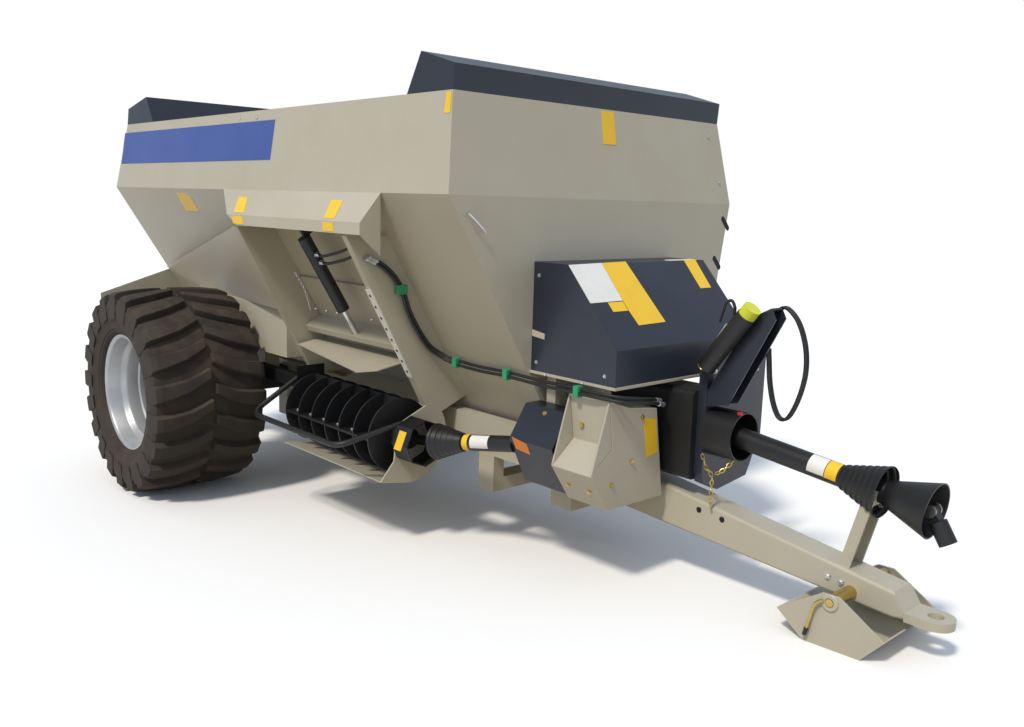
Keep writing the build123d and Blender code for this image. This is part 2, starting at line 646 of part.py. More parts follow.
fairing_top = Vector(box_front_x, rib_y(RIB_TOP_Z), RIB_TOP_Z)
fairing_low = Vector(box_front_x, rib_y(AXLE_BOX_HIGH_Z), AXLE_BOX_HIGH_Z)
fairing_back = Vector(rear_x, -wall_y(FAIRING_BACK_Z, 2 * FAIRING_SHEET), FAIRING_BACK_Z)
fairing_normal = (fairing_back - fairing_top).cross(fairing_low - fairing_top).normalized()
if fairing_normal.Y > 0:
    fairing_normal = fairing_normal * -1
corner_y = fairing_top.Y - (fairing_normal.X * (AXLE_BOX_REAR_X - fairing_top.X)
                            + fairing_normal.Z * (AXLE_BOX_HIGH_Z - fairing_top.Z)) / fairing_normal.Y
fairing_corner = Vector(AXLE_BOX_REAR_X, corner_y, AXLE_BOX_HIGH_Z)
fairing_plane = Plane(origin=fairing_top, x_dir=fairing_back - fairing_top, z_dir=fairing_normal)
with BuildPart() as fairing:
    with BuildSketch(fairing_plane) as fairing_panel:
        corners = [fairing_plane.to_local_coords(corner)
                   for corner in (fairing_top, fairing_low, fairing_corner, fairing_back)]
        with BuildLine():
            Polyline(*[(corner.X, corner.Y) for corner in corners], close=True)
        make_face()
    extrude(fairing_panel.sketch, amount=-FAIRING_SHEET)
    prism_y([(rear_x, 0), (box_front_x, 0), (box_front_x, RIM_Z), (rear_x, RIM_Z)],
            -RIM_Z, 0, Mode.INTERSECT)
pieces["fairing"] = fairing

with BuildPart() as lamp_board:
    board_x = rear_x - LAMP_PLATE
    with BuildSketch(Plane.YZ.offset(board_x)) as board:
        with BuildLine():
            Polyline((-LAMP_OUT, LAMP_LOW_Z), (-LAMP_OUT, LAMP_EDGE_Z), (-wall_y(LAMP_TOP_Z), LAMP_TOP_Z),
                     (wall_y(LAMP_TOP_Z), LAMP_TOP_Z), (LAMP_OUT, LAMP_EDGE_Z), (LAMP_OUT, LAMP_LOW_Z),
                     close=True)
        make_face()
    extrude(amount=LAMP_PLATE)
pieces["lamp_board"] = lamp_board

with BuildPart() as rear_lamps:
    for side in (-1, 1):
        for step in (0, 1):
            lamp_y = side * (LAMP_OUT - LAMP_R - LAMP_EDGE - step * LAMP_PITCH)
            lamp_z = (LAMP_LOW_Z + LAMP_EDGE_Z) / 2
            rod((board_x - LAMP_DEPTH, lamp_y, lamp_z), (board_x, lamp_y, lamp_z), LAMP_R)
pieces["rear_lamps"] = rear_lamps

with BuildPart() as corner_gusset:
    with BuildSketch(Plane.YZ):
        with BuildLine():
            Polyline((wall_y(GUSSET_LOW_Z), GUSSET_LOW_Z), (CREASE_HALF, CREASE_Z),
                     (CREASE_HALF - GUSSET_TAPER, GUSSET_LOW_Z), close=True)
        make_face()
    extrude(amount=-GUSSET_PLATE)
pieces["corner_gusset"] = corner_gusset

# ---------------------------------------------------------------- drive covers at the front
with BuildPart() as drive_cover:
    cover_side = [(0, COVER_LOW_Z), (0, COVER_TOP_Z), (COVER_ROOF, COVER_TOP_Z),
                  (COVER_FACE, COVER_FOLD_Z), (COVER_FACE, COVER_LOW_Z)]
    cover_hollow = [(0, COVER_LOW_Z), (0, COVER_TOP_Z - COVER_SHEET),
                    (COVER_ROOF - COVER_SHEET / 2, COVER_TOP_Z - COVER_SHEET),
                    (COVER_FACE - COVER_SHEET, COVER_FOLD_Z - COVER_SHEET / 2),
                    (COVER_FACE - COVER_SHEET, COVER_LOW_Z)]
    prism_y(cover_side, -COVER_HALF, COVER_HALF)
    prism_y(cover_hollow, -COVER_HALF + COVER_SHEET, COVER_HALF - COVER_SHEET, Mode.SUBTRACT)
pieces["drive_cover"] = drive_cover

with BuildPart() as cover_shelf:
    with Locations(((COVER_FACE + SHELF_MARGIN) / 2, 0, COVER_LOW_Z - SHELF_PLATE / 2)):
        Box(COVER_FACE + SHELF_MARGIN, 2 * (COVER_HALF + SHELF_MARGIN), SHELF_PLATE)
    for side in (-1, 1):
        shelf_y = side * (RAIL_IN + rail_out) / 2
        with Locations((SHELF_LEG_X, shelf_y, (rail_top_z + COVER_LOW_Z - SHELF_PLATE) / 2)):
            Box(SHELF_LEG, RAIL_WIDTH, COVER_LOW_Z - SHELF_PLATE - rail_top_z)
pieces["cover_shelf"] = cover_shelf

with BuildPart() as gear_case:
    prism_x(CASE_OUTLINE, CASE_REAR_X, CASE_FRONT_X)
    with BuildSketch(Plane.YZ.offset(CASE_REAR_X)) as case_inside:
        with BuildLine():
            Polyline(*CASE_OUTLINE, close=True)
        make_face()
        offset(amount=-CASE_SHEET)
    extrude(case_inside.sketch, amount=CASE_FRONT_X - CASE_REAR_X - CASE_SHEET, mode=Mode.SUBTRACT)
pieces["gear_case"] = gear_case

with BuildPart() as shaft_box:
    prism_x(BOX_OUTLINE, BOX_REAR_X, CASE_REAR_X)
    with BuildSketch(Plane.YZ.offset(BOX_REAR_X)) as box_inside:
        with BuildLine():
            Polyline(*BOX_OUTLINE, close=True)
        make_face()
        offset(amount=-COVER_SHEET)
    extrude(box_inside.sketch, amount=CASE_REAR_X - BOX_REAR_X, mode=Mode.SUBTRACT)
    with BuildSketch(Plane.YZ.offset(BOX_REAR_X)) as box_end:
        with BuildLine():
            Polyline(*BOX_OUTLINE, close=True)
        make_face()
        with Locations((SHAFT_FRONT[1], SHAFT_FRONT[2])):
            Circle(SHAFT_TUBE_R + SHAFT_BOX_CLEAR, mode=Mode.SUBTRACT)
    extrude(box_end.sketch, amount=COVER_SHEET)
pieces["shaft_box"] = shaft_box

with BuildPart() as gearbox:
    with Locations(((front_beam_x + GEARBOX_FRONT_X) / 2, 0, (GEARBOX_LOW_Z + GEARBOX_HIGH_Z) / 2)):
        Box(GEARBOX_FRONT_X - front_beam_x, 2 * GEARBOX_HALF, GEARBOX_HIGH_Z - GEARBOX_LOW_Z)
    fillet(gearbox.edges().filter_by(Axis.X), radius=GEARBOX_ROUND)
    rod((GEARBOX_FRONT_X, 0, PTO_Z), (PTO_X - PTO_JOINT_GAP, 0, PTO_Z), STUB_R)
    rod((front_beam_x, 0, TROUGH_AXIS_Z), (FRONT_STUB_X, 0, TROUGH_AXIS_Z), STUB_R)
pieces["gearbox"] = gearbox

with BuildPart() as gearbox_guard:
    prism_x(GUARD_OUTLINE, GEARBOX_FRONT_X, GUARD_X)
    with BuildSketch(Plane.YZ.offset(GEARBOX_FRONT_X)) as guard_inside:
        with BuildLine():
            Polyline(*GUARD_OUTLINE, close=True)
        make_face()
        offset(amount=-COVER_SHEET)
    extrude(guard_inside.sketch, amount=GUARD_X - GEARBOX_FRONT_X - COVER_SHEET, mode=Mode.SUBTRACT)
    with BuildSketch(Plane.YZ.offset(GEARBOX_FRONT_X)) as shaft_hole:
        with Locations((0, PTO_Z)):
            Circle(STUB_R + BEARING_CLEAR)
    extrude(shaft_hole.sketch, amount=GUARD_X - GEARBOX_FRONT_X, mode=Mode.SUBTRACT)
pieces["gearbox_guard"] = gearbox_guard

with BuildPart() as pto_bell:
    with BuildSketch(Plane.YZ.offset(GUARD_X)) as bell_foot:
        with Locations((0, PTO_Z)):
            Circle(PTO_BELL_R)
            Circle(PTO_BELL_R - PTO_CONE_SHEET, mode=Mode.SUBTRACT)
    extrude(bell_foot.sketch, amount=PTO_BELL_X - GUARD_X)
pieces["pto_bell"] = pto_bell

# ---------------------------------------------------------------- side drive to the rotor
with BuildPart() as bell_guard:
    with BuildSketch(Plane.YZ.offset(RIB_FRONT_X)) as octagon:
        with Locations((ROTOR_Y, ROTOR_Z)):
            RegularPolygon(BELL_R, BELL_FLAT_COUNT)
            RegularPolygon(BELL_R - BELL_SHEET, BELL_FLAT_COUNT, mode=Mode.SUBTRACT)
    extrude(octagon.sketch, amount=BELL_LENGTH)
pieces["bell_guard"] = bell_guard

shaft_way = Vector(*SHAFT_FRONT) - Vector(*SHAFT_REAR)
cone_end = Vector(*SHAFT_REAR) + shaft_way.normalized() * SHAFT_CONE
with BuildPart() as side_shaft_guard:
    rod(SHAFT_REAR, SHAFT_FRONT, SHAFT_TUBE_R)
    with BuildSketch(Plane(origin=SHAFT_REAR, z_dir=shaft_way)) as cone_wide:
        Circle(SHAFT_CONE_R)
    with BuildSketch(Plane(origin=cone_end, z_dir=shaft_way)) as cone_narrow:
        Circle(SHAFT_TUBE_R + PTO_CONE_SHEET)
    loft([cone_wide.sketch, cone_narrow.sketch])
    rod((RIB_FRONT_X + STUB_START, ROTOR_Y, ROTOR_Z), SHAFT_REAR, STUB_R)
pieces["side_shaft_guard"] = side_shaft_guard

guard_rear_x = beam_front_x - RAIL_TUBE_R
with BuildPart() as guard_rail:
    legs = [(guard_rear_x, GUARD_TOP_Y, GUARD_TOP_Z), (guard_rear_x, GUARD_OUT_Y, GUARD_OUT_Z),
            (GUARD_FRONT_X, GUARD_OUT_Y, GUARD_OUT_Z), (RIB_FRONT_X, GUARD_END_Y, GUARD_END_Z)]
    with BuildLine() as rail_path:
        FilletPolyline(*legs, radius=GUARD_BEND)
    with BuildSketch(Plane(origin=legs[0], z_dir=Vector(*legs[1]) - Vector(*legs[0]))) as rail_ring:
        Circle(RAIL_TUBE_R)
    sweep(rail_ring.sketch, path=rail_path.line)
    split(bisect_by=Plane.YZ.offset(RIB_FRONT_X - RIB_PLATE), keep=Keep.BOTTOM)
pieces["guard_rail"] = guard_rail

# ---------------------------------------------------------------- drive shaft to the tractor
pto_start = Vector(PTO_X, 0, PTO_Z)
pto_way = (Vector(PTO_END_X, 0, PTO_END_Z) - pto_start).normalized()
pto_end = Vector(PTO_END_X, 0, PTO_END_Z)
cone_rim = pto_end + pto_way * PTO_CONE
with BuildPart() as pto_tube:
    rod(pto_start, pto_end, PTO_TUBE_R)
    rod(pto_start, pto_end, PTO_TUBE_R - PTO_TUBE_SHEET, Mode.SUBTRACT)
pieces["pto_tube"] = pto_tube

with BuildPart() as pto_cone:
    with BuildSketch(Plane(origin=pto_end, z_dir=pto_way)) as cone_small:
        Circle(PTO_TUBE_R + PTO_CONE_SHEET)
    with BuildSketch(Plane(origin=cone_rim, z_dir=pto_way)) as cone_big:
        Circle(PTO_CONE_R)
    loft([cone_small.sketch, cone_big.sketch])
    with BuildSketch(Plane(origin=pto_end, z_dir=pto_way)) as bore_small:
        Circle(PTO_TUBE_R)
    with BuildSketch(Plane(origin=cone_rim, z_dir=pto_way)) as bore_big:
        Circle(PTO_CONE_R - PTO_CONE_SHEET)
    loft([bore_small.sketch, bore_big.sketch], mode=Mode.SUBTRACT)
pieces["pto_cone"] = pto_cone

yoke_joint = cone_rim - pto_way * YOKE_BACK
cheek_out = YOKE_TONGUE / 2 + YOKE_GAP + YOKE_CHEEK
with BuildPart() as pto_shaft:
    rod(pto_start, yoke_joint - pto_way * YOKE_EYE, STUB_R)
    with BuildSketch(Plane(origin=yoke_joint, x_dir=pto_way, z_dir=(0, 1, 0))) as cheek:
        with Locations((-YOKE_EYE / 2, 0)):
            Rectangle(YOKE_EYE, 2 * STUB_R)
        Circle(STUB_R)
    extrude(cheek.sketch, amount=cheek_out, both=True)
    with BuildSketch(Plane(origin=yoke_joint, x_dir=pto_way, z_dir=(0, 1, 0))) as slot:
        Rectangle(2 * YOKE_EYE - 2 * YOKE_CHEEK, 4 * STUB_R)
    extrude(slot.sketch, amount=YOKE_TONGUE / 2 + YOKE_GAP, both=True, mode=Mode.SUBTRACT)
    rod(yoke_joint - Vector(0, cheek_out, 0), yoke_joint + Vector(0, cheek_out, 0), CROSS_PIN_R)
pieces["pto_shaft"] = pto_shaft

droop = radians(YOKE_DROOP)
yoke_way = Vector(cos(droop), 0, -sin(droop))
yoke_end = yoke_joint + yoke_way * YOKE_LENGTH
with BuildPart() as pto_yoke:
    rod(yoke_joint + yoke_way * YOKE_EYE, yoke_end, YOKE_R)
    with BuildSketch(Plane(origin=yoke_joint, x_dir=yoke_way, z_dir=(0, 1, 0))) as tongue:
        with Locations((YOKE_EYE / 2, 0)):
            Rectangle(YOKE_EYE, 2 * STUB_R - 2 * YOKE_CHEEK)
        Circle(STUB_R - YOKE_CHEEK / 2)
    extrude(tongue.sketch, amount=YOKE_TONGUE / 2, both=True)
    rod(yoke_joint - Vector(0, cheek_out, 0), yoke_joint + Vector(0, cheek_out, 0),
        CROSS_PIN_R + YOKE_GAP, Mode.SUBTRACT)
    rod(yoke_end - yoke_way * YOKE_BORE, yoke_end, YOKE_BORE_R, Mode.SUBTRACT)
pieces["pto_yoke"] = pto_yoke

# ---------------------------------------------------------------- cradle, hose post and document tube


def bar_top(x):
    """Top of the drawbar."""
    share = (x - front_beam_x) / (BAR_TIP_X - front_beam_x)
    return BAR_ROOT_HIGH_Z + share * (BAR_TIP_HIGH_Z - BAR_ROOT_HIGH_Z)


def pto_z(x):
    """Axis of the drive shaft."""
    return PTO_Z + (x - PTO_X) * pto_way.Z / pto_way.X


cradle_front_x = CRADLE_X + CRADLE_WIDTH
cradle_shift = tan(radians(CRADLE_LEAN)) * (pto_z(CRADLE_X) - bar_top(CRADLE_X))
cradle_out = PTO_TUBE_R + CRADLE_GAP + CRADLE_PLATE
cradle_outline = [(CRADLE_X, bar_top(CRADLE_X)), (cradle_front_x, bar_top(cradle_front_x)),
                  (cradle_front_x + cradle_shift, pto_z(cradle_front_x)),
                  (CRADLE_X + cradle_shift, pto_z(CRADLE_X))]
with BuildPart() as pto_cradle:
    prism_y(cradle_outline, -cradle_out, cradle_out)
    prism_y([(x, z - PTO_TUBE_R - CRADLE_SADDLE) for x, z in cradle_outline],
            -cradle_out + CRADLE_PLATE, cradle_out - CRADLE_PLATE, Mode.SUBTRACT)
    rod((PTO_X, 0, PTO_Z), cone_rim, PTO_TUBE_R + CRADLE_GAP, Mode.SUBTRACT)
pieces["pto_cradle"] = pto_cradle

with BuildPart() as hose_post:
    prism_y(POST_OUTLINE, POST_RIGHT_Y, POST_LEFT_Y)
    prism_y([(x + POST_SHEET, z - POST_SHEET) for x, z in POST_OUTLINE],
            POST_RIGHT_Y + POST_SHEET, POST_LEFT_Y - POST_SHEET, Mode.SUBTRACT)
pieces["hose_post"] = hose_post

doc_y = POST_RIGHT_Y - DOC_R
doc_low = Vector(DOC_LOW[0], doc_y, DOC_LOW[1])
doc_high = Vector(DOC_HIGH[0], doc_y, DOC_HIGH[1])
doc_way = (doc_high - doc_low).normalized()
with BuildPart() as document_tube:
    rod(doc_low, doc_high, DOC_R)
pieces["document_tube"] = document_tube
with BuildPart() as document_cap:
    rod(doc_high, doc_high + doc_way * DOC_CAP, DOC_R - DOC_CAP_LIP)
pieces["document_cap"] = document_cap

# ---------------------------------------------------------------- parking stand


def stand_point(along, up):
    """A point of the stand, given from its pivot along and above the parked floor."""
    tilt = radians(park_pitch)
    return (STAND_PIVOT_X + along * cos(tilt) - up * sin(tilt),
            STAND_PIVOT_Z + along * sin(tilt) + up * cos(tilt))


wing_z = STAND_WING_UP - STAND_DROP
top_z = STAND_TOP_UP - STAND_DROP
shoe_outer = [(STAND_WING_REAR, wing_z), (STAND_FOOT_REAR, -STAND_DROP), (STAND_FOOT_FRONT, -STAND_DROP),
              (STAND_WING_FRONT, wing_z)]
shoe_inner = [(STAND_WING_FRONT - STAND_PLATE, wing_z),
              (STAND_FOOT_FRONT - STAND_PLATE / 2, -STAND_DROP + STAND_PLATE),
              (STAND_FOOT_REAR + STAND_PLATE / 2, -STAND_DROP + STAND_PLATE),
              (STAND_WING_REAR + STAND_PLATE, wing_z)]
shoe_peak = [(STAND_TOP_HALF, top_z), (-STAND_TOP_HALF, top_z)]
with BuildPart() as stand_foot:
    prism_y([stand_point(*corner) for corner in shoe_outer + shoe_inner], -STAND_HALF, STAND_HALF)
    for side in (-1, 1):
        cheek_from = side * STAND_HALF if side < 0 else STAND_HALF - STAND_PLATE
        prism_y([stand_point(*corner) for corner in shoe_outer + shoe_peak],
                cheek_from, cheek_from + STAND_PLATE)
    rod((STAND_PIVOT_X, -STAND_HALF, STAND_PIVOT_Z), (STAND_PIVOT_X, STAND_HALF, STAND_PIVOT_Z),
        STAND_PIN_R + STAND_PIN_CLEAR, Mode.SUBTRACT)
pieces["stand_foot"] = stand_foot

for side, name in ((-1, "right"), (1, "left")):
    with BuildPart() as stand_pin:
        pin_root = (STAND_PIVOT_X, side * BAR_WIDTH / 2, STAND_PIVOT_Z)
        pin_tip = (STAND_PIVOT_X, side * (STAND_HALF + STAND_GAP), STAND_PIVOT_Z)
        sleeve_tip = (STAND_PIVOT_X, side * (STAND_HALF - STAND_PLATE - STAND_GAP), STAND_PIVOT_Z)
        rod(pin_root, pin_tip, STAND_PIN_R)
        rod(pin_root, sleeve_tip, STAND_SLEEVE_R)
    pieces[f"stand_pin_{name}"] = stand_pin

# ---------------------------------------------------------------- sliding door, its ram and the deflector


def beside_wall(z, outward):
    """A point beside the right wall, square out from the wall's outer face at the height z."""
    return (-wall_y(z) - outward * cos(slope_angle), z - outward * sin(slope_angle))


def wall_block(z_low, z_high, inner, outer):
    """Outline of a block that lies along the right wall."""
    return [beside_wall(z_low, inner), beside_wall(z_high, inner),
            beside_wall(z_high, outer), beside_wall(z_low, outer)]


door_rear_x = RIB_REAR_X + DOOR_SIDE_GAP
door_front_x = OPEN_FRONT_X + DOOR_MARGIN
door_out = DOOR_GAP + DOOR_PLATE
ledge_rise = LEDGE_PLATE * cos(slope_angle)
with BuildPart() as door_plate:
    prism_x(wall_block(DOOR_LOW_Z, DOOR_HIGH_Z, DOOR_GAP, door_out), door_rear_x, door_front_x)
    prism_x(wall_block(LEDGE_Z - ledge_rise, LEDGE_Z, door_out, LEDGE_OUT), door_rear_x, door_front_x)
    prism_x(wall_block(LEDGE_Z - ledge_rise - LEDGE_LIP, LEDGE_Z - ledge_rise,
                       LEDGE_OUT - LEDGE_PLATE, LEDGE_OUT), door_rear_x, door_front_x)
pieces["door_plate"] = door_plate

ram_low = Vector(RAM_X, *beside_wall(RAM_BARREL_LOW_Z, RAM_STAND))
ram_high = Vector(RAM_X, *beside_wall(RAM_BARREL_HIGH_Z, RAM_STAND))
ram_way = (ram_high - ram_low).normalized()
with BuildPart() as ram_barrel:
    rod(ram_low, ram_high, RAM_BARREL_R)
    rod(ram_low, ram_high - ram_way * RAM_CAP, RAM_ROD_R + RAM_CLEAR, Mode.SUBTRACT)
    prism_x(wall_block(RAM_BARREL_HIGH_Z, RAM_BARREL_HIGH_Z + RAM_LUG_LENGTH, 0, RAM_STAND),
            RAM_X - RAM_LUG / 2, RAM_X + RAM_LUG / 2)
pieces["ram_barrel"] = ram_barrel

with BuildPart() as ram_rod:
    rod(Vector(RAM_X, *beside_wall(LEDGE_Z, RAM_STAND)), ram_low + ram_way * RAM_OVERLAP, RAM_ROD_R)
pieces["ram_rod"] = ram_rod

flap_way = Vector(0, -cos(radians(FLAP_DROOP)), -sin(radians(FLAP_DROOP)))
flap_plane = Plane(origin=(0, flap_y, FLAP_Z), x_dir=(1, 0, 0), z_dir=Vector(1, 0, 0).cross(flap_way))
with BuildPart() as deflector_flap:
    with BuildSketch(flap_plane) as flap_sheet:
        with BuildLine():
            Polyline((FLAP_REAR_X, 0), (FLAP_REAR_X, FLAP_REACH),
                     (FLAP_FRONT_X - FLAP_NOTCH, FLAP_REACH_FRONT),
                     (FLAP_FRONT_X, FLAP_REACH_FRONT - FLAP_NOTCH), (FLAP_FRONT_X, 0), close=True)
        make_face()
    extrude(flap_sheet.sketch, amount=FLAP_PLATE)
    rod((FLAP_REAR_X, flap_y, FLAP_Z), (FLAP_FRONT_X, flap_y, FLAP_Z), FLAP_KNUCKLE_R)
    rod((FLAP_REAR_X, flap_y, FLAP_Z), (FLAP_FRONT_X, flap_y, FLAP_Z), FLAP_ROD_R + FLAP_CLEAR, Mode.SUBTRACT)
pieces["deflector_flap"] = deflector_flap

# ---------------------------------------------------------------- rotor and auger
rotor_bay = (ROTOR_FRONT_X - ROTOR_REAR_X - ROTOR_DISC) / (ROTOR_DISCS - 1)
with BuildPart() as rotor:
    rod((beam_front_x - ROTOR_END, ROTOR_Y, ROTOR_Z), (RIB_FRONT_X, ROTOR_Y, ROTOR_Z), ROTOR_SHAFT_R)
    for number in range(ROTOR_DISCS):
        disc_x = ROTOR_REAR_X + number * rotor_bay
        rod((disc_x, ROTOR_Y, ROTOR_Z), (disc_x + ROTOR_DISC, ROTOR_Y, ROTOR_Z), ROTOR_R)
    with BuildSketch(Plane.YZ.offset(ROTOR_REAR_X)) as paddles:
        with Locations((ROTOR_Y, ROTOR_Z)):
            with PolarLocations(ROTOR_R - ROTOR_PADDLE / 2 - ROTOR_TIP, ROTOR_PADDLES):
                Rectangle(ROTOR_PADDLE, ROTOR_PADDLE_PLATE)
    extrude(paddles.sketch, amount=ROTOR_FRONT_X - ROTOR_REAR_X)
pieces["rotor"] = rotor

flight_r = trough_inner_r - AUGER_GAP
flight_tilt = degrees(atan2(AUGER_PITCH / 4, flight_r))
auger_rear_x = rear_x + WALL + AUGER_END_GAP
auger_front_x = -WALL - AUGER_END_GAP
auger_middle_x = (auger_rear_x + auger_front_x) / 2
mouth_x = (OPEN_REAR_X + OPEN_FRONT_X) / 2
with BuildPart() as auger:
    rod((auger_rear_x, 0, TROUGH_AXIS_Z), (auger_front_x, 0, TROUGH_AXIS_Z), AUGER_SHAFT_R)
    for half in range(2 * AUGER_TURNS):
        flight_x = auger_middle_x + (half - AUGER_TURNS + 0.5) * AUGER_PITCH / 2
        hand = 1 if flight_x < mouth_x else -1
        flight_plane = Plane(origin=(flight_x, 0, TROUGH_AXIS_Z), x_dir=(0, 0, 1), z_dir=(1, 0, 0))
        flight_plane = flight_plane.rotated((0, hand * flight_tilt, 0))
        with BuildSketch(flight_plane) as flight:
            Circle(flight_r)
            Rectangle(4 * flight_r, 2 * flight_r, align=(Align.CENTER, Align.MAX if half % 2 else Align.MIN),
                      mode=Mode.INTERSECT)
        extrude(flight.sketch, amount=AUGER_PLATE / 2, both=True)
pieces["auger"] = auger

# ---------------------------------------------------------------- wheels
rim_face = RIM_W / 2
bead = RIM_SHEET + RIM_ROLL
for side, name in ((-1, "right"), (1, "left")):
    wheel_plane = Plane(origin=(AXLE_X, side * TRACK_HALF, AXLE_Z), x_dir=(0, side, 0), z_dir=(1, 0, 0))
    wheel_axis = Axis((AXLE_X, 0, AXLE_Z), (0, 1, 0))
    with BuildPart() as tyre:
        with BuildSketch(wheel_plane) as tyre_section:
            with BuildLine():
                half_w, shoulder = TYRE_W / 2, TYRE_W / 2 - TYRE_SHOULDER
                tread = TYRE_R - TYRE_CROWN
                seat = rim_face - bead
                rise_r = FLANGE_R + TYRE_RISE
                Line((seat, BEAD_R), (seat, rise_r))
                ThreePointArc((seat, rise_r), (half_w, (rise_r + tread) / 2), (shoulder, tread))
                ThreePointArc((shoulder, tread), (0, TYRE_R), (-shoulder, tread))
                ThreePointArc((-shoulder, tread), (-half_w, (rise_r + tread) / 2), (-seat, rise_r))
                Polyline((-seat, rise_r), (-seat, BEAD_R), (-seat + TYRE_BEAD, BEAD_R))
                inner_half = half_w - TYRE_SIDE
                ThreePointArc((-seat + TYRE_BEAD, BEAD_R), (-inner_half, (BEAD_R + tread) / 2),
                              (-shoulder + TYRE_SIDE, tread - TYRE_TREAD))
                ThreePointArc((-shoulder + TYRE_SIDE, tread - TYRE_TREAD), (0, TYRE_R - TYRE_TREAD),
                              (shoulder - TYRE_SIDE, tread - TYRE_TREAD))
                ThreePointArc((shoulder - TYRE_SIDE, tread - TYRE_TREAD), (inner_half, (BEAD_R + tread) / 2),
                              (seat - TYRE_BEAD, BEAD_R))
                Line((seat - TYRE_BEAD, BEAD_R), (seat, BEAD_R))
            make_face()
        revolve(tyre_section.sketch, axis=wheel_axis)
    pieces[f"tyre_{name}"] = tyre
    with BuildPart() as rim:
        disc_out = rim_face - DISC_DEPTH
        with BuildSketch(wheel_plane) as rim_section:
            with BuildLine():
                Polyline((-rim_face, FLANGE_R), (-rim_face, BEAD_R - RIM_SHEET),
                         (-seat + RIM_SEAT, BEAD_R - RIM_SHEET),
                         (-seat + RIM_SEAT, WELL_R - RIM_SHEET), (disc_out - DISC_PLATE, WELL_R - RIM_SHEET),
                         (disc_out - DISC_PLATE, HUB_R), (disc_out, HUB_R), (disc_out, WELL_R - RIM_SHEET),
                         (seat - RIM_STEP, WELL_R - RIM_SHEET), (seat - RIM_STEP, BEAD_R - RIM_SHEET),
                         (rim_face, BEAD_R - RIM_SHEET), (rim_face, FLANGE_R), (seat, FLANGE_R),
                         (seat, BEAD_R), (seat - RIM_STEP - RIM_SHEET, BEAD_R),
                         (seat - RIM_STEP - RIM_SHEET, WELL_R), (-seat + RIM_SEAT + RIM_SHEET, WELL_R),
                         (-seat + RIM_SEAT + RIM_SHEET, BEAD_R), (-seat, BEAD_R),
                         (-seat, FLANGE_R), close=True)
            make_face()
        revolve(rim_section.sketch, axis=wheel_axis)
        hub_from = hub_inner_y * side
        rod((AXLE_X, hub_from, AXLE_Z), (AXLE_X, hub_from + side * HUB_LENGTH, AXLE_Z), HUB_R)
        rod((AXLE_X, hub_from, AXLE_Z), (AXLE_X, hub_from + side * HUB_LENGTH, AXLE_Z),
            SPINDLE_R + SPINDLE_GAP, Mode.SUBTRACT)
    pieces[f"rim_{name}"] = rim

# ---------------------------------------------------------------- parked pose and export
pitch = Axis.Y
placed = {}
for name, piece in pieces.items():
    placed[name] = piece.part.rotate(pitch, park_pitch)
tyre_centre = Vector(AXLE_X, 0, AXLE_Z).rotate(pitch, park_pitch)
whole = Compound(children=[Compound(part.solids()) for part in placed.values()]).bounding_box()
shift = Vector(-(whole.min.X + whole.max.X) / 2, 0, TYRE_R - tyre_centre.Z)
os.makedirs("parts", exist_ok=True)
for name, part in placed.items():
    placed[name] = part.moved(Location(shift))
    placed[name].label = name
    export_step(placed[name], f"parts/{name}.step")
print(f"pitch {park_pitch:.4f} degrees, shift {shift.X:.3f} {shift.Z:.3f}")
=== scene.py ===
"""Looks of a side-discharge manure spreader, built over its packed construction model."""

import json
import logging
import math
from dataclasses import dataclass
from enum import Enum

import bmesh
import bpy
from mathutils import Matrix, Vector
from mathutils.bvhtree import BVHTree


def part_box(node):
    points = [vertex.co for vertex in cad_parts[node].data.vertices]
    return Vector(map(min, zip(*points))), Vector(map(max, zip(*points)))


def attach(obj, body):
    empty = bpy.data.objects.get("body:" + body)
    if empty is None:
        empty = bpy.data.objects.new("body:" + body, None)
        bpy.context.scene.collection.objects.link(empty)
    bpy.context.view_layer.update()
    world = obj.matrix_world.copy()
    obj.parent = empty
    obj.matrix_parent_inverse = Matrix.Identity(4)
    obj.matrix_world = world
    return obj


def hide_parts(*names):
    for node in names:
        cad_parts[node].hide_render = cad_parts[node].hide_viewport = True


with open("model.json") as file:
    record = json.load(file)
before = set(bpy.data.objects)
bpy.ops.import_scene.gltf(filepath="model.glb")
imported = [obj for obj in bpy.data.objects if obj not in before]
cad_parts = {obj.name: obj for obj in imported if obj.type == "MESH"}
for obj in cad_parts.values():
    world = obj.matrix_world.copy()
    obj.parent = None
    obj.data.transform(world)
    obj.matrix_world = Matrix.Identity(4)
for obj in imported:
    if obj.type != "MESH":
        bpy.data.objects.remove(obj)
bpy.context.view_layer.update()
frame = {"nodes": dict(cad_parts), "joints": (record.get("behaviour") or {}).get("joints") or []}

logging.basicConfig(level=logging.INFO, format="%(message)s")
log = logging.getLogger("spreader")

Outline = list[tuple[float, float]]


# ------------------------------------------------------------------ frames and small maths
class MachineFrame:
    """The level frame of the chassis: X = 0 on the hopper's front wall, Z up square to the chassis.

    The parked model is pitched nose down, so its joints give the turn and the shift between the two.
    """

    WHEEL_X = -2.161
    WHEEL_Z = 0.467

    def __init__(self) -> None:
        """Reads the pitch from the auger's axis and the shift from the wheel's centre."""
        joints = {joint["name"]: joint for joint in frame["joints"]}
        axis = Vector(joints["auger_spin"]["axis"])
        self.pitch = math.atan2(-axis.z, axis.x)
        turn = Matrix.Rotation(self.pitch, 4, "Y")
        hub = Vector(joints["wheel_right_spin"]["pos_m"])
        shift = hub - turn @ Vector((self.WHEEL_X, hub.y, self.WHEEL_Z))
        self.matrix = Matrix.Translation(shift) @ turn

    def at(self, x: float, y: float, z: float) -> Vector:
        """A level point, in the parked frame."""
        return self.matrix @ Vector((x, y, z))

    def along(self, x: float, y: float, z: float) -> Vector:
        """A level direction, in the parked frame."""
        return (self.matrix.to_3x3() @ Vector((x, y, z))).normalized()


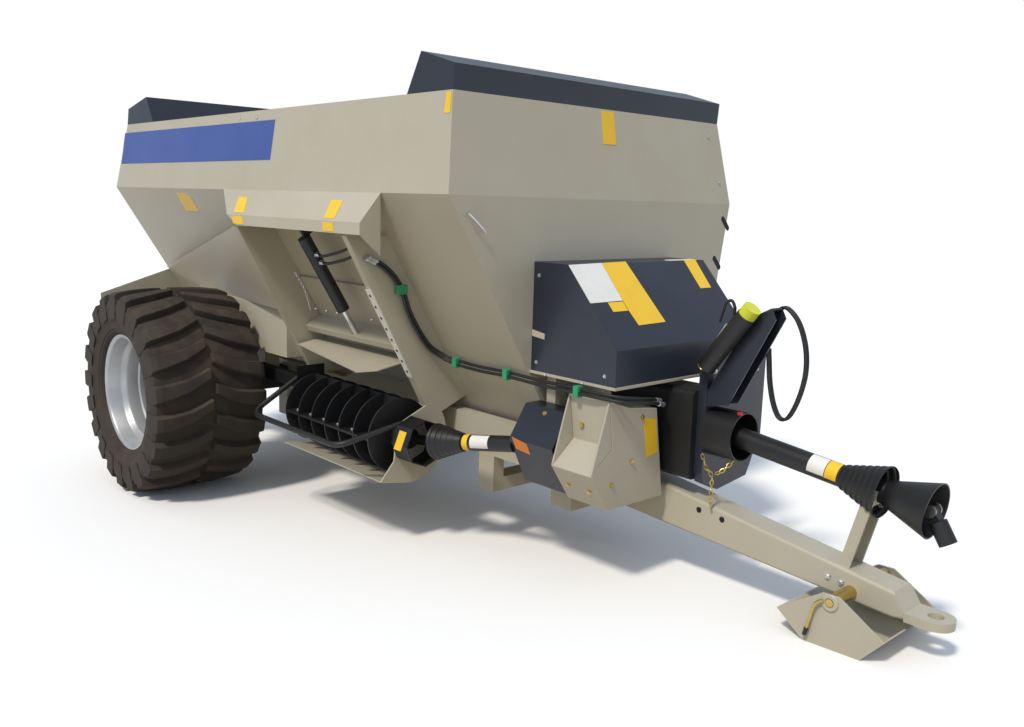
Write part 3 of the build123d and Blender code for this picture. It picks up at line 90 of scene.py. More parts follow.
MACHINE = MachineFrame()


@dataclass(frozen=True)
class SideWall:
    """The hopper's sloped lower wall, which many pieces lie along."""

    crease_half: float = 0.876
    crease_z: float = 1.524
    slope: float = 0.61

    @property
    def tilt(self) -> float:
        """Angle of the wall from the vertical."""
        return math.atan(self.slope)

    def y(self, z: float) -> float:
        """Distance of the wall's outer face from the centre line."""
        return self.crease_half - self.slope * (self.crease_z - z)

    def beside(self, x: float, z: float, out: float, side: int = -1) -> Vector:
        """A point square out from the wall.

        Args:
            x: Place along the machine.
            z: Height of the wall's point that it stands out from.
            out: Distance from the wall's outer face.
            side: -1 on the right, 1 on the left.
        """
        reach = self.y(z) + out * math.cos(self.tilt)
        return Vector((x, side * reach, z - out * math.sin(self.tilt)))

    def outward(self, side: int = -1) -> Vector:
        """The wall's outward normal."""
        return Vector((0, side * math.cos(self.tilt), -math.sin(self.tilt)))

    def upward(self, side: int = -1) -> Vector:
        """The way up along the wall."""
        return Vector((0, side * math.sin(self.tilt), math.cos(self.tilt)))


WALL = SideWall()


def linear(code: str) -> tuple[float, float, float, float]:
    """Turns an sRGB hex code into linear colour.

    Args:
        code: Six hex digits.

    Returns:
        Linear red, green, blue and full alpha.
    """
    channels = [int(code[place:place + 2], 16) / 255 for place in (0, 2, 4)]
    low = [c / 12.92 if c <= 0.04045 else ((c + 0.055) / 1.055) ** 2.4 for c in channels]
    return (low[0], low[1], low[2], 1.0)


def wave_scale(size_mm: float) -> float:
    """Noise scale at which one feature is about that many millimetres, in metre coordinates."""
    return 1000.0 / size_mm


# ------------------------------------------------------------------ finishes
def add_node(tree: bpy.types.NodeTree, kind: str, settings: dict | None = None,
             links: dict | None = None) -> bpy.types.Node:
    """Adds one shader node.

    Args:
        tree: Material's node tree.
        kind: Class name of the node.
        settings: Attribute or input name, with its value.
        links: Input name, with the output socket that feeds it.

    Returns:
        The new node.
    """
    node = tree.nodes.new(kind)
    for name, value in (settings or {}).items():
        if isinstance(name, str) and hasattr(node, name):
            setattr(node, name, value)
        else:
            node.inputs[name].default_value = value
    for name, socket in (links or {}).items():
        tree.links.new(socket, node.inputs[name])
    return node


class Pattern(Enum):
    """How the second colour lies over the first."""

    CLOUD = "cloud"
    DUST = "dust"
    STREAK = "streak"


@dataclass(frozen=True)
class Finish:
    """One real finish: its colours, its gloss and the relief of its surface."""

    name: str
    base: str
    second: str
    metallic: float = 0.0
    roughness: float = 0.4
    rough_swing: float = 0.1
    cloud_mm: float = 350.0
    share: float = 0.5
    pattern: Pattern = Pattern.CLOUD
    grit_mm: float = 2.5
    relief_mm: float = 0.05
    coat: float = 0.0

    def build(self) -> bpy.types.Material:
        """Makes the material, once, and returns it."""
        made = bpy.data.materials.get(self.name)
        if made:
            return made
        made = bpy.data.materials.new(self.name)
        made.use_nodes = True
        tree = made.node_tree
        tree.nodes.clear()
        place = add_node(tree, "ShaderNodeTexCoord")
        cloud = add_node(tree, "ShaderNodeTexNoise", {"Scale": wave_scale(self.cloud_mm), "Detail": 6.0,
                                                      "Roughness": 0.6},
                         {"Vector": self._stretched(tree, place)})
        soft = add_node(tree, "ShaderNodeMapRange", {"From Min": 0.35, "From Max": 0.72, "To Min": 0.0,
                                                     "To Max": self.share},
                        {"Value": cloud.outputs["Fac"]})
        amount = soft.outputs["Result"]
        if self.pattern is Pattern.DUST:
            amount = self._settled(tree, amount)
        colour = add_node(tree, "ShaderNodeMix", {"data_type": "RGBA"}, {"Factor": amount})
        colour.inputs[6].default_value = linear(self.base)
        colour.inputs[7].default_value = linear(self.second)
        grit = add_node(tree, "ShaderNodeTexNoise", {"Scale": wave_scale(self.grit_mm), "Detail": 3.0},
                        {"Vector": place.outputs["Object"]})
        rough = add_node(tree, "ShaderNodeMapRange",
                         {"To Min": max(0.02, self.roughness - self.rough_swing),
                          "To Max": min(1.0, self.roughness + self.rough_swing)},
                         {"Value": cloud.outputs["Fac"]})
        bump = add_node(tree, "ShaderNodeBump", {"Strength": 0.35, "Distance": self.relief_mm / 1000},
                        {"Height": grit.outputs["Fac"]})
        shader = add_node(tree, "ShaderNodeBsdfPrincipled",
                          {"Metallic": self.metallic, "Coat Weight": self.coat},
                          {"Base Color": colour.outputs[2], "Roughness": rough.outputs["Result"],
                           "Normal": bump.outputs["Normal"]})
        add_node(tree, "ShaderNodeOutputMaterial", {}, {"Surface": shader.outputs["BSDF"]})
        return made

    def _stretched(self, tree: bpy.types.NodeTree, place: bpy.types.Node) -> bpy.types.NodeSocket:
        """Coordinates of the cloud, drawn out downwards where the pattern is a streak."""
        if self.pattern is not Pattern.STREAK:
            return place.outputs["Object"]
        drawn = add_node(tree, "ShaderNodeMapping", {"Scale": (1.0, 1.0, 0.12)},
                         {"Vector": place.outputs["Object"]})
        return drawn.outputs["Vector"]

    def _settled(self, tree: bpy.types.NodeTree, amount: bpy.types.NodeSocket) -> bpy.types.NodeSocket:
        """Keeps the second colour mostly on faces that look up, where dust settles."""
        facing = add_node(tree, "ShaderNodeNewGeometry")
        split = add_node(tree, "ShaderNodeSeparateXYZ", {}, {"Vector": facing.outputs["Normal"]})
        upward = add_node(tree, "ShaderNodeMapRange", {"From Min": -0.4, "From Max": 0.9, "To Min": 0.25,
                                                       "To Max": 1.0},
                          {"Value": split.outputs["Z"]})
        product = add_node(tree, "ShaderNodeMath", {"operation": "MULTIPLY"}, {0: amount})
        tree.links.new(upward.outputs["Result"], product.inputs[1])
        return product.outputs["Value"]


class Finishes:
    """Every finish on the machine, named for what it really is."""

    # Two-pack polyurethane enamel, sprayed: a soft gloss with a faint orange peel and a film of dust.
    body_enamel = Finish("sprayed_enamel_stone", "BCB7A7", "A79F86", roughness=0.42, rough_swing=0.08,
                         cloud_mm=420, share=0.55, pattern=Pattern.DUST, grit_mm=3.0, relief_mm=0.06)
    # Blue-black enamel on folded covers: glossier, so it picks up the sky.
    cover_enamel = Finish("sprayed_enamel_blue_black", "262C3A", "1B1F29", roughness=0.38, rough_swing=0.06,
                          cloud_mm=300, share=0.6, relief_mm=0.05)
    # Black enamel on the chassis parts under the machine.
    chassis_enamel = Finish("sprayed_enamel_black", "17181B", "24221F", roughness=0.5, cloud_mm=200,
                            pattern=Pattern.DUST)
    # Aluminium-filled wheel lacquer: silver, half metallic, a little dusty.
    wheel_lacquer = Finish("wheel_lacquer_silver", "B9BCC0", "96948C", metallic=0.55, roughness=0.4,
                           cloud_mm=120, share=0.6, pattern=Pattern.DUST, relief_mm=0.03)
    # Vulcanised tyre rubber with dry soil in its grain.
    tyre_rubber = Finish("vulcanised_rubber_dusty", "2E2925", "5A4C3E", roughness=0.85, rough_swing=0.08,
                         cloud_mm=110, share=0.75, pattern=Pattern.DUST, grit_mm=4.0, relief_mm=0.5)
    # Moulded polyethylene guards: black, with a waxy half gloss.
    guard_plastic = Finish("moulded_polyethylene_black", "151517", "222224", roughness=0.45, cloud_mm=90,
                           grit_mm=1.5, relief_mm=0.04)
    # Extruded rubber hose with a ground cover.
    hose_rubber = Finish("hose_rubber_black", "161618", "262627", roughness=0.55, cloud_mm=60, grit_mm=1.0)
    # Turned bar steel, bare and oiled.
    bare_steel = Finish("bare_turned_steel", "A9A69E", "7C776C", metallic=1.0, roughness=0.38, cloud_mm=40,
                        share=0.6, pattern=Pattern.STREAK)
    # Wear plate polished and stained by the load.
    worn_steel = Finish("worn_plate_steel", "7F766A", "4C443B", metallic=0.8, roughness=0.5, cloud_mm=70,
                        share=0.9, pattern=Pattern.STREAK, relief_mm=0.2)
    # Yellow-passivated zinc on pins and chains: gold with a faint green.
    gold_zinc = Finish("zinc_yellow_passivated", "CDB46A", "A98E4A", metallic=1.0, roughness=0.33,
                       cloud_mm=20)
    # Clear-passivated zinc on bolts.
    white_zinc = Finish("zinc_clear_passivated", "D5D6D6", "A9AAA8", metallic=1.0, roughness=0.35,
                        cloud_mm=15)
    # Hard chrome on the ram's rod.
    hard_chrome = Finish("hard_chrome", "DADCDE", "C4C6C8", metallic=1.0, roughness=0.12, rough_swing=0.03)
    # Plain vinyl films, bare of print: flat colour with a low even gloss.
    yellow_film = Finish("vinyl_film_yellow", "F8CB2C", "F1C126", roughness=0.4, cloud_mm=80, relief_mm=0.01)
    white_film = Finish("vinyl_film_white", "EDEDEA", "DEDEDA", roughness=0.4, cloud_mm=80, relief_mm=0.01)
    orange_film = Finish("vinyl_film_orange", "F08A24", "E37F1E", roughness=0.4, cloud_mm=80, relief_mm=0.01)
    red_film = Finish("vinyl_film_red", "C9252B", "B51F25", roughness=0.4, cloud_mm=80, relief_mm=0.01)
    # The same film in blue on the side wall, a little glossier.
    blue_film = Finish("vinyl_film_blue", "3B57A6", "344E99", roughness=0.35, cloud_mm=300, relief_mm=0.01)
    # Moulded cap of the document tube: bright, waxy yellow-green.
    cap_plastic = Finish("moulded_pvc_yellow", "DCE33A", "C9D02F", roughness=0.4, cloud_mm=40)
    # Dyed polypropylene pipe clips.
    clip_plastic = Finish("moulded_polypropylene_green", "2F9E6B", "268A5C", roughness=0.45, cloud_mm=30)
    # Clear-coated red lens of the rear lamps.
    lamp_lens = Finish("acrylic_lens_red", "8E1114", "6E0B0E", roughness=0.15, cloud_mm=30, coat=0.6)
    # Painted shade: flat near-black standing in for the unlit inside of holes and slots; the dark marks on
    # the scale plate use it too.
    painted_hole_shade_and_marks = Finish("painted_hole_shade_and_scale_marks", "0D0D0E", "141414", roughness=0.8)


# ------------------------------------------------------------------ mesh building
class Solid:
    """A mesh under construction, in level machine coordinates."""

    def __init__(self) -> None:
        """Starts an empty mesh."""
        self.mesh = bmesh.new()

    def prism(self, outline: list[Vector], along: Vector) -> "Solid":
        """Carries a flat outline along a vector.

        Args:
            outline: Corners in order.
            along: How far and which way it is carried.
        """
        low = [self.mesh.verts.new(point) for point in outline]
        high = [self.mesh.verts.new(point + along) for point in outline]
        count = len(outline)
        self.mesh.faces.new(low[::-1])
        self.mesh.faces.new(high)
        for index in range(count):
            after = (index + 1) % count
            self.mesh.faces.new((low[index], low[after], high[after], high[index]))
        return self

    def block(self, low: tuple[float, float, float], high: tuple[float, float, float]) -> "Solid":
        """A box between two corners."""
        outline = [Vector((low[0], low[1], low[2])), Vector((high[0], low[1], low[2])),
                   Vector((high[0], high[1], low[2])), Vector((low[0], high[1], low[2]))]
        return self.prism(outline, Vector((0, 0, high[2] - low[2])))

    def plate(self, centre: Vector, right: Vector, up: Vector, outline: Outline, thick: float) -> "Solid":
        """A flat plate with a given outline.

        Args:
            centre: Where the outline's (0, 0) lies.
            right: Direction of its first coordinate.
            up: Direction of its second coordinate.
            outline: Corners in the plate's plane.
            thick: Thickness, towards right x up.
        """
        normal = right.cross(up).normalized()
        return self.prism([centre + right * a + up * b for a, b in outline], normal * thick)

    def lathe(self, profile: Outline, origin: Vector, axis: Vector, steps: int = 48) -> "Solid":
        """Turns a profile of (distance along, radius) about an axis."""
        axis = axis.normalized()
        across = axis.orthogonal().normalized()
        third = axis.cross(across)
        rings = []
        for along, radius in profile:
            centre = origin + axis * along
            if radius < 1e-6:
                rings.append([self.mesh.verts.new(centre)])
                continue
            ring = []
            for step in range(steps):
                angle = 2 * math.pi * step / steps
                ring.append(self.mesh.verts.new(centre + (across * math.cos(angle) + third * math.sin(angle))
                                                * radius))
            rings.append(ring)
        for first, second in zip(rings, rings[1:]):
            for step in range(steps):
                after = (step + 1) % steps
                corners = [first[step % len(first)], first[after % len(first)],
                           second[after % len(second)], second[step % len(second)]]
                unique = list(dict.fromkeys(corners))
                if len(unique) > 2:
                    self.mesh.faces.new(unique)
        return self

    def tube(self, points: list[Vector], radius: float, sides: int = 16, closed: bool = False) -> "Solid":
        """A round bar that follows points."""
        count = len(points)
        rings = []
        across = None
        for index, point in enumerate(points):
            before = points[index - 1] if index or closed else points[0]
            after = points[(index + 1) % count] if index < count - 1 or closed else points[-1]
            way = (after - before).normalized()
            across = way.orthogonal() if across is None else across - way * across.dot(way)
            across = across.normalized()
            third = way.cross(across)
            rings.append([self.mesh.verts.new(point + (across * math.cos(2 * math.pi * s / sides)
                                                       + third * math.sin(2 * math.pi * s / sides)) * radius)
                          for s in range(sides)])
        pairs = list(zip(rings, rings[1:]))
        if closed:
            pairs.append((rings[-1], rings[0]))
        for first, second in pairs:
            for s in range(sides):
                after = (s + 1) % sides
                self.mesh.faces.new((first[s], first[after], second[after], second[s]))
        if not closed:
            self.mesh.faces.new(rings[0][::-1])
            self.mesh.faces.new(rings[-1])
        return self

    def bar(self, rings: list) -> "Solid":
        """Joins rings of four corners into one closed bar."""
        for first, second in zip(rings, rings[1:]):
            for index in range(4):
                after = (index + 1) % 4
                self.mesh.faces.new((first[index], first[after], second[after], second[index]))
        self.mesh.faces.new(rings[0])
        self.mesh.faces.new(rings[-1][::-1])
        return self

    def bolt(self, seat: Vector, normal: Vector, size: float = 0.012, washer: bool = True) -> "Solid":
        """A hexagon head on its washer, with the end of its shank.

        Args:
            seat: Centre of the surface that it sits on.
            normal: Way that it stands out.
            size: Thread diameter.
            washer: Whether a washer lies under the head.
        """
        base = 0.0
        if washer:
            self.lathe([(0, 0), (0, size * 1.1), (size * 0.2, size * 1.1), (size * 0.2, 0)], seat, normal, 20)
            base = size * 0.2
        head = size * 0.65
        self.lathe([(base, 0), (base, size * 0.92), (base + head * 0.82, size * 0.92),
                    (base + head, size * 0.78),
                    (base + head, 0)], seat, normal, 6)
        return self

    def finish(self, name: str, body: str, material: Finish, bevel: float = 0.0, smooth: bool = True,
               slot: str = "") -> bpy.types.Object:
        """Turns the mesh into an object that rides on a body.

        Args:
            name: Name of the piece.
            body: CAD body that it moves with.
            material: Its finish.
            bevel: Width of its rounded edges, in metres.
            smooth: Whether curved faces shade smoothly.
            slot: Record's material slot that the finish belongs to; not used.
        """
        bmesh.ops.recalc_face_normals(self.mesh, faces=self.mesh.faces)
        mesh = bpy.data.meshes.new(name)
        self.mesh.to_mesh(mesh)
        self.mesh.free()
        mesh.transform(MACHINE.matrix)
        made = bpy.data.objects.new(name, mesh)
        bpy.context.scene.collection.objects.link(made)
        made.data.materials.append(material.build())
        if bevel:
            edge = made.modifiers.new("edge", "BEVEL")
            edge.width = bevel
            edge.segments = 2
            edge.limit_method = "ANGLE"
            edge.angle_limit = math.radians(40)
        if smooth:
            for polygon in mesh.polygons:
                polygon.use_smooth = True
            sharp = made.modifiers.new("sharp", "EDGE_SPLIT")
            sharp.split_angle = math.radians(35)
        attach(made, body)
        return made


def dress(names: list[str], finish: Finish) -> None:
    """Gives CAD nodes a finish."""
    for name in names:
        node = frame["nodes"][name]
        material = finish.build()
        if not node.material_slots:
            node.data.materials.append(material)
        for held in node.material_slots:
            held.material = material


def spaced(first: float, last: float, count: int) -> list[float]:
    """Evenly spaced values from first to last."""
    return [first + (last - first) * index / (count - 1) for index in range(count)]


# ------------------------------------------------------------------ studio
@dataclass
class Studio:
    """Floor, light and camera."""

    eye: tuple[float, float, float] = (2.661, -2.996, 1.503)
    turn: float = 47.28
    down: float = 9.917
    roll: float = 1.704
    lens_mm: float = 32.45
    sensor_mm: float = 36.0
    floor_size: float = 120.0

    def white_ground(self) -> bpy.types.Material:
        """Matt paper ground: white where seen or mirrored, earth-dull in the light it throws back."""
        made = bpy.data.materials.new("matt_paper_ground")
        made.use_nodes = True
        tree = made.node_tree
        tree.nodes.clear()
        path = add_node(tree, "ShaderNodeLightPath")
        mirrored = add_node(tree, "ShaderNodeMath", {"operation": "MAXIMUM"},
                            {0: path.outputs["Is Camera Ray"]})
        tree.links.new(path.outputs["Is Glossy Ray"], mirrored.inputs[1])
        seen = add_node(tree, "ShaderNodeMath", {"operation": "MAXIMUM"}, {0: mirrored.outputs["Value"]})
        tree.links.new(path.outputs["Is Transmission Ray"], seen.inputs[1])
        colour = add_node(tree, "ShaderNodeMix", {"data_type": "RGBA"}, {"Factor": seen.outputs["Value"]})
        colour.inputs[6].default_value = linear("B5A88E")
        colour.inputs[7].default_value = linear("FFFFFF")
        shader = add_node(tree, "ShaderNodeBsdfDiffuse", {}, {"Color": colour.outputs[2]})
        add_node(tree, "ShaderNodeOutputMaterial", {}, {"Surface": shader.outputs["BSDF"]})
        return made

    def build(self) -> None:
        """Makes the floor, the sky, the sun lamp and the camera."""
        mesh = bpy.data.meshes.new("floor")
        half = self.floor_size / 2
        mesh.from_pydata([(-half, -half, 0), (half, -half, 0), (half, half, 0), (-half, half, 0)], [],
                         [(0, 1, 2, 3)])
        floor = bpy.data.objects.new("floor", mesh)
        bpy.context.scene.collection.objects.link(floor)
        mesh.materials.append(self.white_ground())
        self._sky()
        self._lamp("sun_high", "SUN", Vector((0.2, -0.72, 0.95)), 2.3, math.radians(8))
        self._camera()

    def _sky(self) -> None:
        """Even pale sky, plain white where it is seen."""
        world = bpy.data.worlds.new("pale_sky")
        bpy.context.scene.world = world
        world.use_nodes = True
        tree = world.node_tree
        tree.nodes.clear()
        path = add_node(tree, "ShaderNodeLightPath")
        lit = add_node(tree, "ShaderNodeBackground", {"Color": linear("D3E0F2"), "Strength": 0.75})
        seen = add_node(tree, "ShaderNodeBackground", {"Color": (1, 1, 1, 1), "Strength": 1.0})
        mix = add_node(tree, "ShaderNodeMixShader", {}, {"Fac": path.outputs["Is Camera Ray"]})
        tree.links.new(lit.outputs["Background"], mix.inputs[1])
        tree.links.new(seen.outputs["Background"], mix.inputs[2])
        add_node(tree, "ShaderNodeOutputWorld", {}, {"Surface": mix.outputs["Shader"]})

    def _lamp(self, name: str, kind: str, way: Vector, energy: float, size: float) -> None:
        """A lamp that shines from a direction.

        Args:
            name: Its name.
            kind: Type of the lamp.
            way: Direction that it stands in, from the machine.
            energy: Its strength.
            size: Angle that the sun fills.
        """
        data = bpy.data.lights.new(name, kind)
        data.energy = energy
        data.angle = size
        data.color = linear("FFF6E8")[:3]
        lamp = bpy.data.objects.new(name, data)
        lamp.rotation_euler = way.to_track_quat("Z", "Y").to_euler()
        lamp.location = way * 10
        bpy.context.scene.collection.objects.link(lamp)

    def _camera(self) -> None:
        """The camera, placed in the level frame and carried to the parked one."""
        turn, down, roll = (math.radians(a) for a in (self.turn, self.down, self.roll))
        back = Vector((math.sin(turn) * math.cos(down), -math.cos(turn) * math.cos(down), math.sin(down)))
        right = (-back).cross(Vector((0, 0, 1))).normalized()
        up = right.cross(-back)
        rolled_right = right * math.cos(roll) + up * math.sin(roll)
        rolled_up = up * math.cos(roll) - right * math.sin(roll)
        pose = Matrix((rolled_right, rolled_up, back)).transposed().to_4x4()
        pose.translation = Vector(self.eye)
        data = bpy.data.cameras.new("view")
        data.sensor_width = self.sensor_mm
        data.lens = self.lens_mm
        data.clip_end = 200
        camera = bpy.data.objects.new("view", data)
        camera.matrix_world = MACHINE.matrix @ pose
        bpy.context.scene.collection.objects.link(camera)
        bpy.context.scene.camera = camera
        bpy.context.scene.view_settings.view_transform = "Standard"


# ------------------------------------------------------------------ wheels
@dataclass
class Wheel:
    """One flotation wheel: lugged tyre, dished rim, hub and nuts."""

    side: int
    centre_x: float = MachineFrame.WHEEL_X
    centre_z: float = MachineFrame.WHEEL_Z
    track_half: float = 1.030
    tyre_r: float = 0.538
    width: float = 0.584
    lug_depth: float = 0.034
    lugs: int = 21
    flange_r: float = 0.305
    rim_width: float = 0.500
    disc_depth: float = 0.262
    well_r: float = 0.253
    nuts: int = 10
    nut_circle_r: float = 0.1375

    @property
    def name(self) -> str:
        """Side of the machine that it is on."""
        return "right" if self.side < 0 else "left"

    @property
    def origin(self) -> Vector:
        """Centre of the tyre."""
        return Vector((self.centre_x, self.side * self.track_half, self.centre_z))

    def point(self, angle: float, across: float, radius: float) -> Vector:
        """A point of the tyre.

        Args:
            angle: Turn about the axle.
            across: Place along the axle, outwards from the tyre's middle.
            radius: Distance from the axle.
        """
        return self.origin + Vector((radius * math.cos(angle), self.side * across, radius * math.sin(angle)))

    def carcass_r(self, across: float) -> float:
        """Radius of the tyre between its lugs, at a place across the tread."""
        half = self.width / 2
        share = min(1.0, abs(across) / half)
        crown = self.tyre_r - self.lug_depth - 0.018 * share ** 2
        if share > 0.86:
            crown -= 0.16 * (share - 0.86) ** 1.4
        return crown

    def carcass(self) -> None:
        """The casing: crowned tread, bulged sidewalls with a rim guard and two moulded ribs."""
        half = self.width / 2
        base = self.flange_r
        tread_r = self.carcass_r(half * 0.9)
        outer = [(half * 0.84, base - 0.016), (half * 0.86, base + 0.004), (half * 0.90, base + 0.012),
                 (half * 0.915, base + 0.018), (half * 0.915, base + 0.026), (half * 0.935, base + 0.032)]
        rise = tread_r - (base + 0.032)
        for step in range(1, 12):
            share = step / 12
            bulge = 0.935 + 0.065 * math.sin(math.pi * (share * 0.72)) - 0.03 * share ** 3
            rib = 0.004 if step in (4, 5, 9) else 0.0
            outer.append((half * bulge - 0.002 + rib * 0.5, base + 0.032 + rise * share))
        tread = [(half * a, self.carcass_r(half * a)) for a in (0.96, 0.9, 0.8, 0.6, 0.4, 0.2, 0.0)]
        profile = outer + tread
        profile = profile + [(-a, r) for a, r in profile[-2::-1]]
        Solid().lathe(profile, self.origin, Vector((0, self.side, 0)), 96).finish(
            f"tyre_casing_{self.name}", f"wheel_{self.name}", Finishes.tyre_rubber, slot="tyre_rubber")

    def lug(self, solid: Solid, angle: float, hand: int) -> None:
        """One bar of the tread: it starts near the middle, curves back and runs down the shoulder.

        Args:
            solid: Mesh that takes the bar.
            angle: Turn about the axle at which it starts.
            hand: 1 on the outer half of the tread, -1 on the inner.
        """
        half = self.width / 2
        stations = ((0.03, 0.000, 0.048, 1.0), (0.22, 0.052, 0.052, 1.0), (0.42, 0.100, 0.058, 1.0),
                    (0.68, 0.134, 0.066, 1.0), (0.90, 0.152, 0.076, 1.0), (0.985, 0.158, 0.080, 0.80),
                    (1.00, 0.160, 0.078, 0.10))
        rings = []
        for share, turn, wide, height in stations:
            across = hand * half * share
            low = self.carcass_r(half * min(share, 0.97)) - 0.006
            high = self.carcass_r(0.0) + self.lug_depth * height - 0.02 * share ** 3 - 0.0015
            if share >= 1.0:
                low, high = self.carcass_r(half * 0.97) - 0.095, self.carcass_r(half * 0.97) - 0.070
            drop = 0.012 / self.tyre_r
            half_turn = wide / 2 / self.tyre_r
            ring = [(angle - turn - half_turn - drop, low), (angle - turn - half_turn, high),
                    (angle - turn + half_turn, high), (angle - turn + half_turn + drop, low)]
            rings.append([solid.mesh.verts.new(self.point(a, min(max(across, -half), half), r))
                          for a, r in ring])
        solid.bar(rings)

    def tread(self) -> None:
        """Both rows of bars, half a pitch apart."""
        solid = Solid()
        for number in range(self.lugs):
            start = 2 * math.pi * number / self.lugs
            self.lug(solid, start, 1)
            self.lug(solid, start + math.pi / self.lugs, -1)
        solid.finish(f"tyre_lugs_{self.name}", f"wheel_{self.name}", Finishes.tyre_rubber, bevel=0.004,
                     smooth=False, slot="tyre_rubber")

    def rim(self) -> None:
        """The pressed rim: rolled flange, stepped well, flat disc, on the outer and the inner face."""
        edge = self.rim_width / 2
        disc = edge - self.disc_depth
        outer = [(edge - 0.012, self.flange_r - 0.004), (edge - 0.006, self.flange_r),
                 (edge, self.flange_r - 0.003),
                 (edge + 0.001, self.flange_r - 0.010), (edge - 0.004, 0.287), (edge - 0.012, 0.281),
                 (edge - 0.070, 0.277), (edge - 0.082, 0.270), (edge - 0.092, 0.258),
                 (edge - 0.104, self.well_r),
                 (edge - 0.160, self.well_r), (edge - 0.168, self.well_r - 0.008),
                 (edge - 0.225, self.well_r - 0.008), (edge - 0.236, self.well_r - 0.002),
                 (disc + 0.012, self.well_r - 0.003), (disc + 0.004, self.well_r - 0.012),
                 (disc + 0.001, 0.235),
                 (disc + 0.001, 0.112), (disc + 0.004, 0.104), (disc + 0.004, 0.089)]
        inner = [(disc - 0.014, 0.089), (disc - 0.014, self.well_r - 0.004),
                 (-edge + 0.07, self.well_r - 0.002),
                 (-edge + 0.06, 0.277), (-edge - 0.001, 0.280), (-edge, self.flange_r),
                 (-edge + 0.012, self.flange_r)]
        Solid().lathe(outer + inner, self.origin, Vector((0, self.side, 0)), 96).finish(
            f"rim_pressing_{self.name}", f"wheel_{self.name}", Finishes.wheel_lacquer, slot="rim_paint")

    def hub(self) -> None:
        """Hub barrel, its cap, and the ring of wheel nuts."""
        axis = Vector((0, self.side, 0))
        face = self.rim_width / 2 - self.disc_depth
        profile = [(face + 0.002, 0.0885), (face + 0.020, 0.0885), (face + 0.026, 0.084),
                   (face + 0.040, 0.078),
                   (face + 0.070, 0.075), (face + 0.072, 0.066), (face + 0.073, 0.064), (face + 0.0745, 0.0)]
        Solid().lathe(profile, self.origin, axis, 48).finish(
            f"hub_cap_{self.name}", f"wheel_{self.name}", Finishes.wheel_lacquer, slot="rim_paint")
        nuts = Solid()
        for number in range(self.nuts):
            angle = 2 * math.pi * number / self.nuts
            seat = self.point(angle, face + 0.001, self.nut_circle_r)
            nuts.bolt(seat, axis, 0.018)
            nuts.lathe([(0.014, 0.009), (0.026, 0.009), (0.028, 0.007), (0.028, 0)], seat, axis, 12)
        nuts.finish(f"wheel_nuts_{self.name}", f"wheel_{self.name}", Finishes.white_zinc, slot="bare_steel")
        stem_angle = math.radians(70)
        foot = self.point(stem_angle, self.rim_width / 2 - 0.150, self.well_r - 0.002)
        tip = self.point(stem_angle, self.rim_width / 2 - 0.085, self.well_r - 0.030)
        valve = Solid().tube([foot, foot.lerp(tip, 0.4), tip], 0.0055, 12)
        valve.finish(f"valve_stem_{self.name}", f"wheel_{self.name}", Finishes.gold_zinc, slot="zinc_steel")

    def build(self) -> None:
        """Makes the wheel and hides the plain one."""
        self.carcass()
        self.tread()
        self.rim()
        self.hub()
        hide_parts(f"tyre_{self.name}")
        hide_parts(f"rim_{self.name}")


# ------------------------------------------------------------------ finishes of the construction
class Paintwork:
    """Which construction node has which finish."""

    BODY = ["hopper_right_panel", "hopper_left_panel", "hopper_front_panel", "hopper_rear_panel",
            "auger_trough",
            "drawbar", "towing_eye", "rotor_housing", "rear_rib",
            "front_end_plate", "door_hood", "fairing", "lamp_board", "corner_gusset", "cover_shelf",
            "gear_case",
            "pto_cradle", "stand_foot", "door_plate", "deflector_flap", "axle_box_right",
            "axle_box_left", "chassis_rails"]
    COVER = ["front_spill_guard", "rear_spill_guard", "drive_cover", "shaft_box", "gearbox_guard",
             "hose_post"]
    CHASSIS = ["rotor", "ram_barrel", "pto_yoke", "axle_beam", "rear_bearing_plate", "gearbox", "guard_rail"]
    PLASTIC = ["pto_bell", "bell_guard", "side_shaft_guard", "pto_tube", "pto_cone", "document_tube"]
    STEEL = ["flap_rod", "pto_shaft"]

    def build(self) -> None:
        """Paints every construction node."""
        dress(self.BODY, Finishes.body_enamel)
        dress(self.COVER, Finishes.cover_enamel)
        dress(self.CHASSIS, Finishes.chassis_enamel)
        dress(self.PLASTIC, Finishes.guard_plastic)
        dress(self.STEEL, Finishes.bare_steel)
        dress(["auger"], Finishes.worn_steel)
        dress(["ram_rod"], Finishes.hard_chrome)
        dress(["stand_pin_right", "stand_pin_left"], Finishes.gold_zinc)
        dress(["document_cap"], Finishes.cap_plastic)
        dress(["indicator_plate"], Finishes.white_film)
        dress(["rear_lamps"], Finishes.lamp_lens)
        dress([f"{kind}_{side}" for kind in ("tyre", "rim") for side in ("right", "left")],
              Finishes.tyre_rubber)
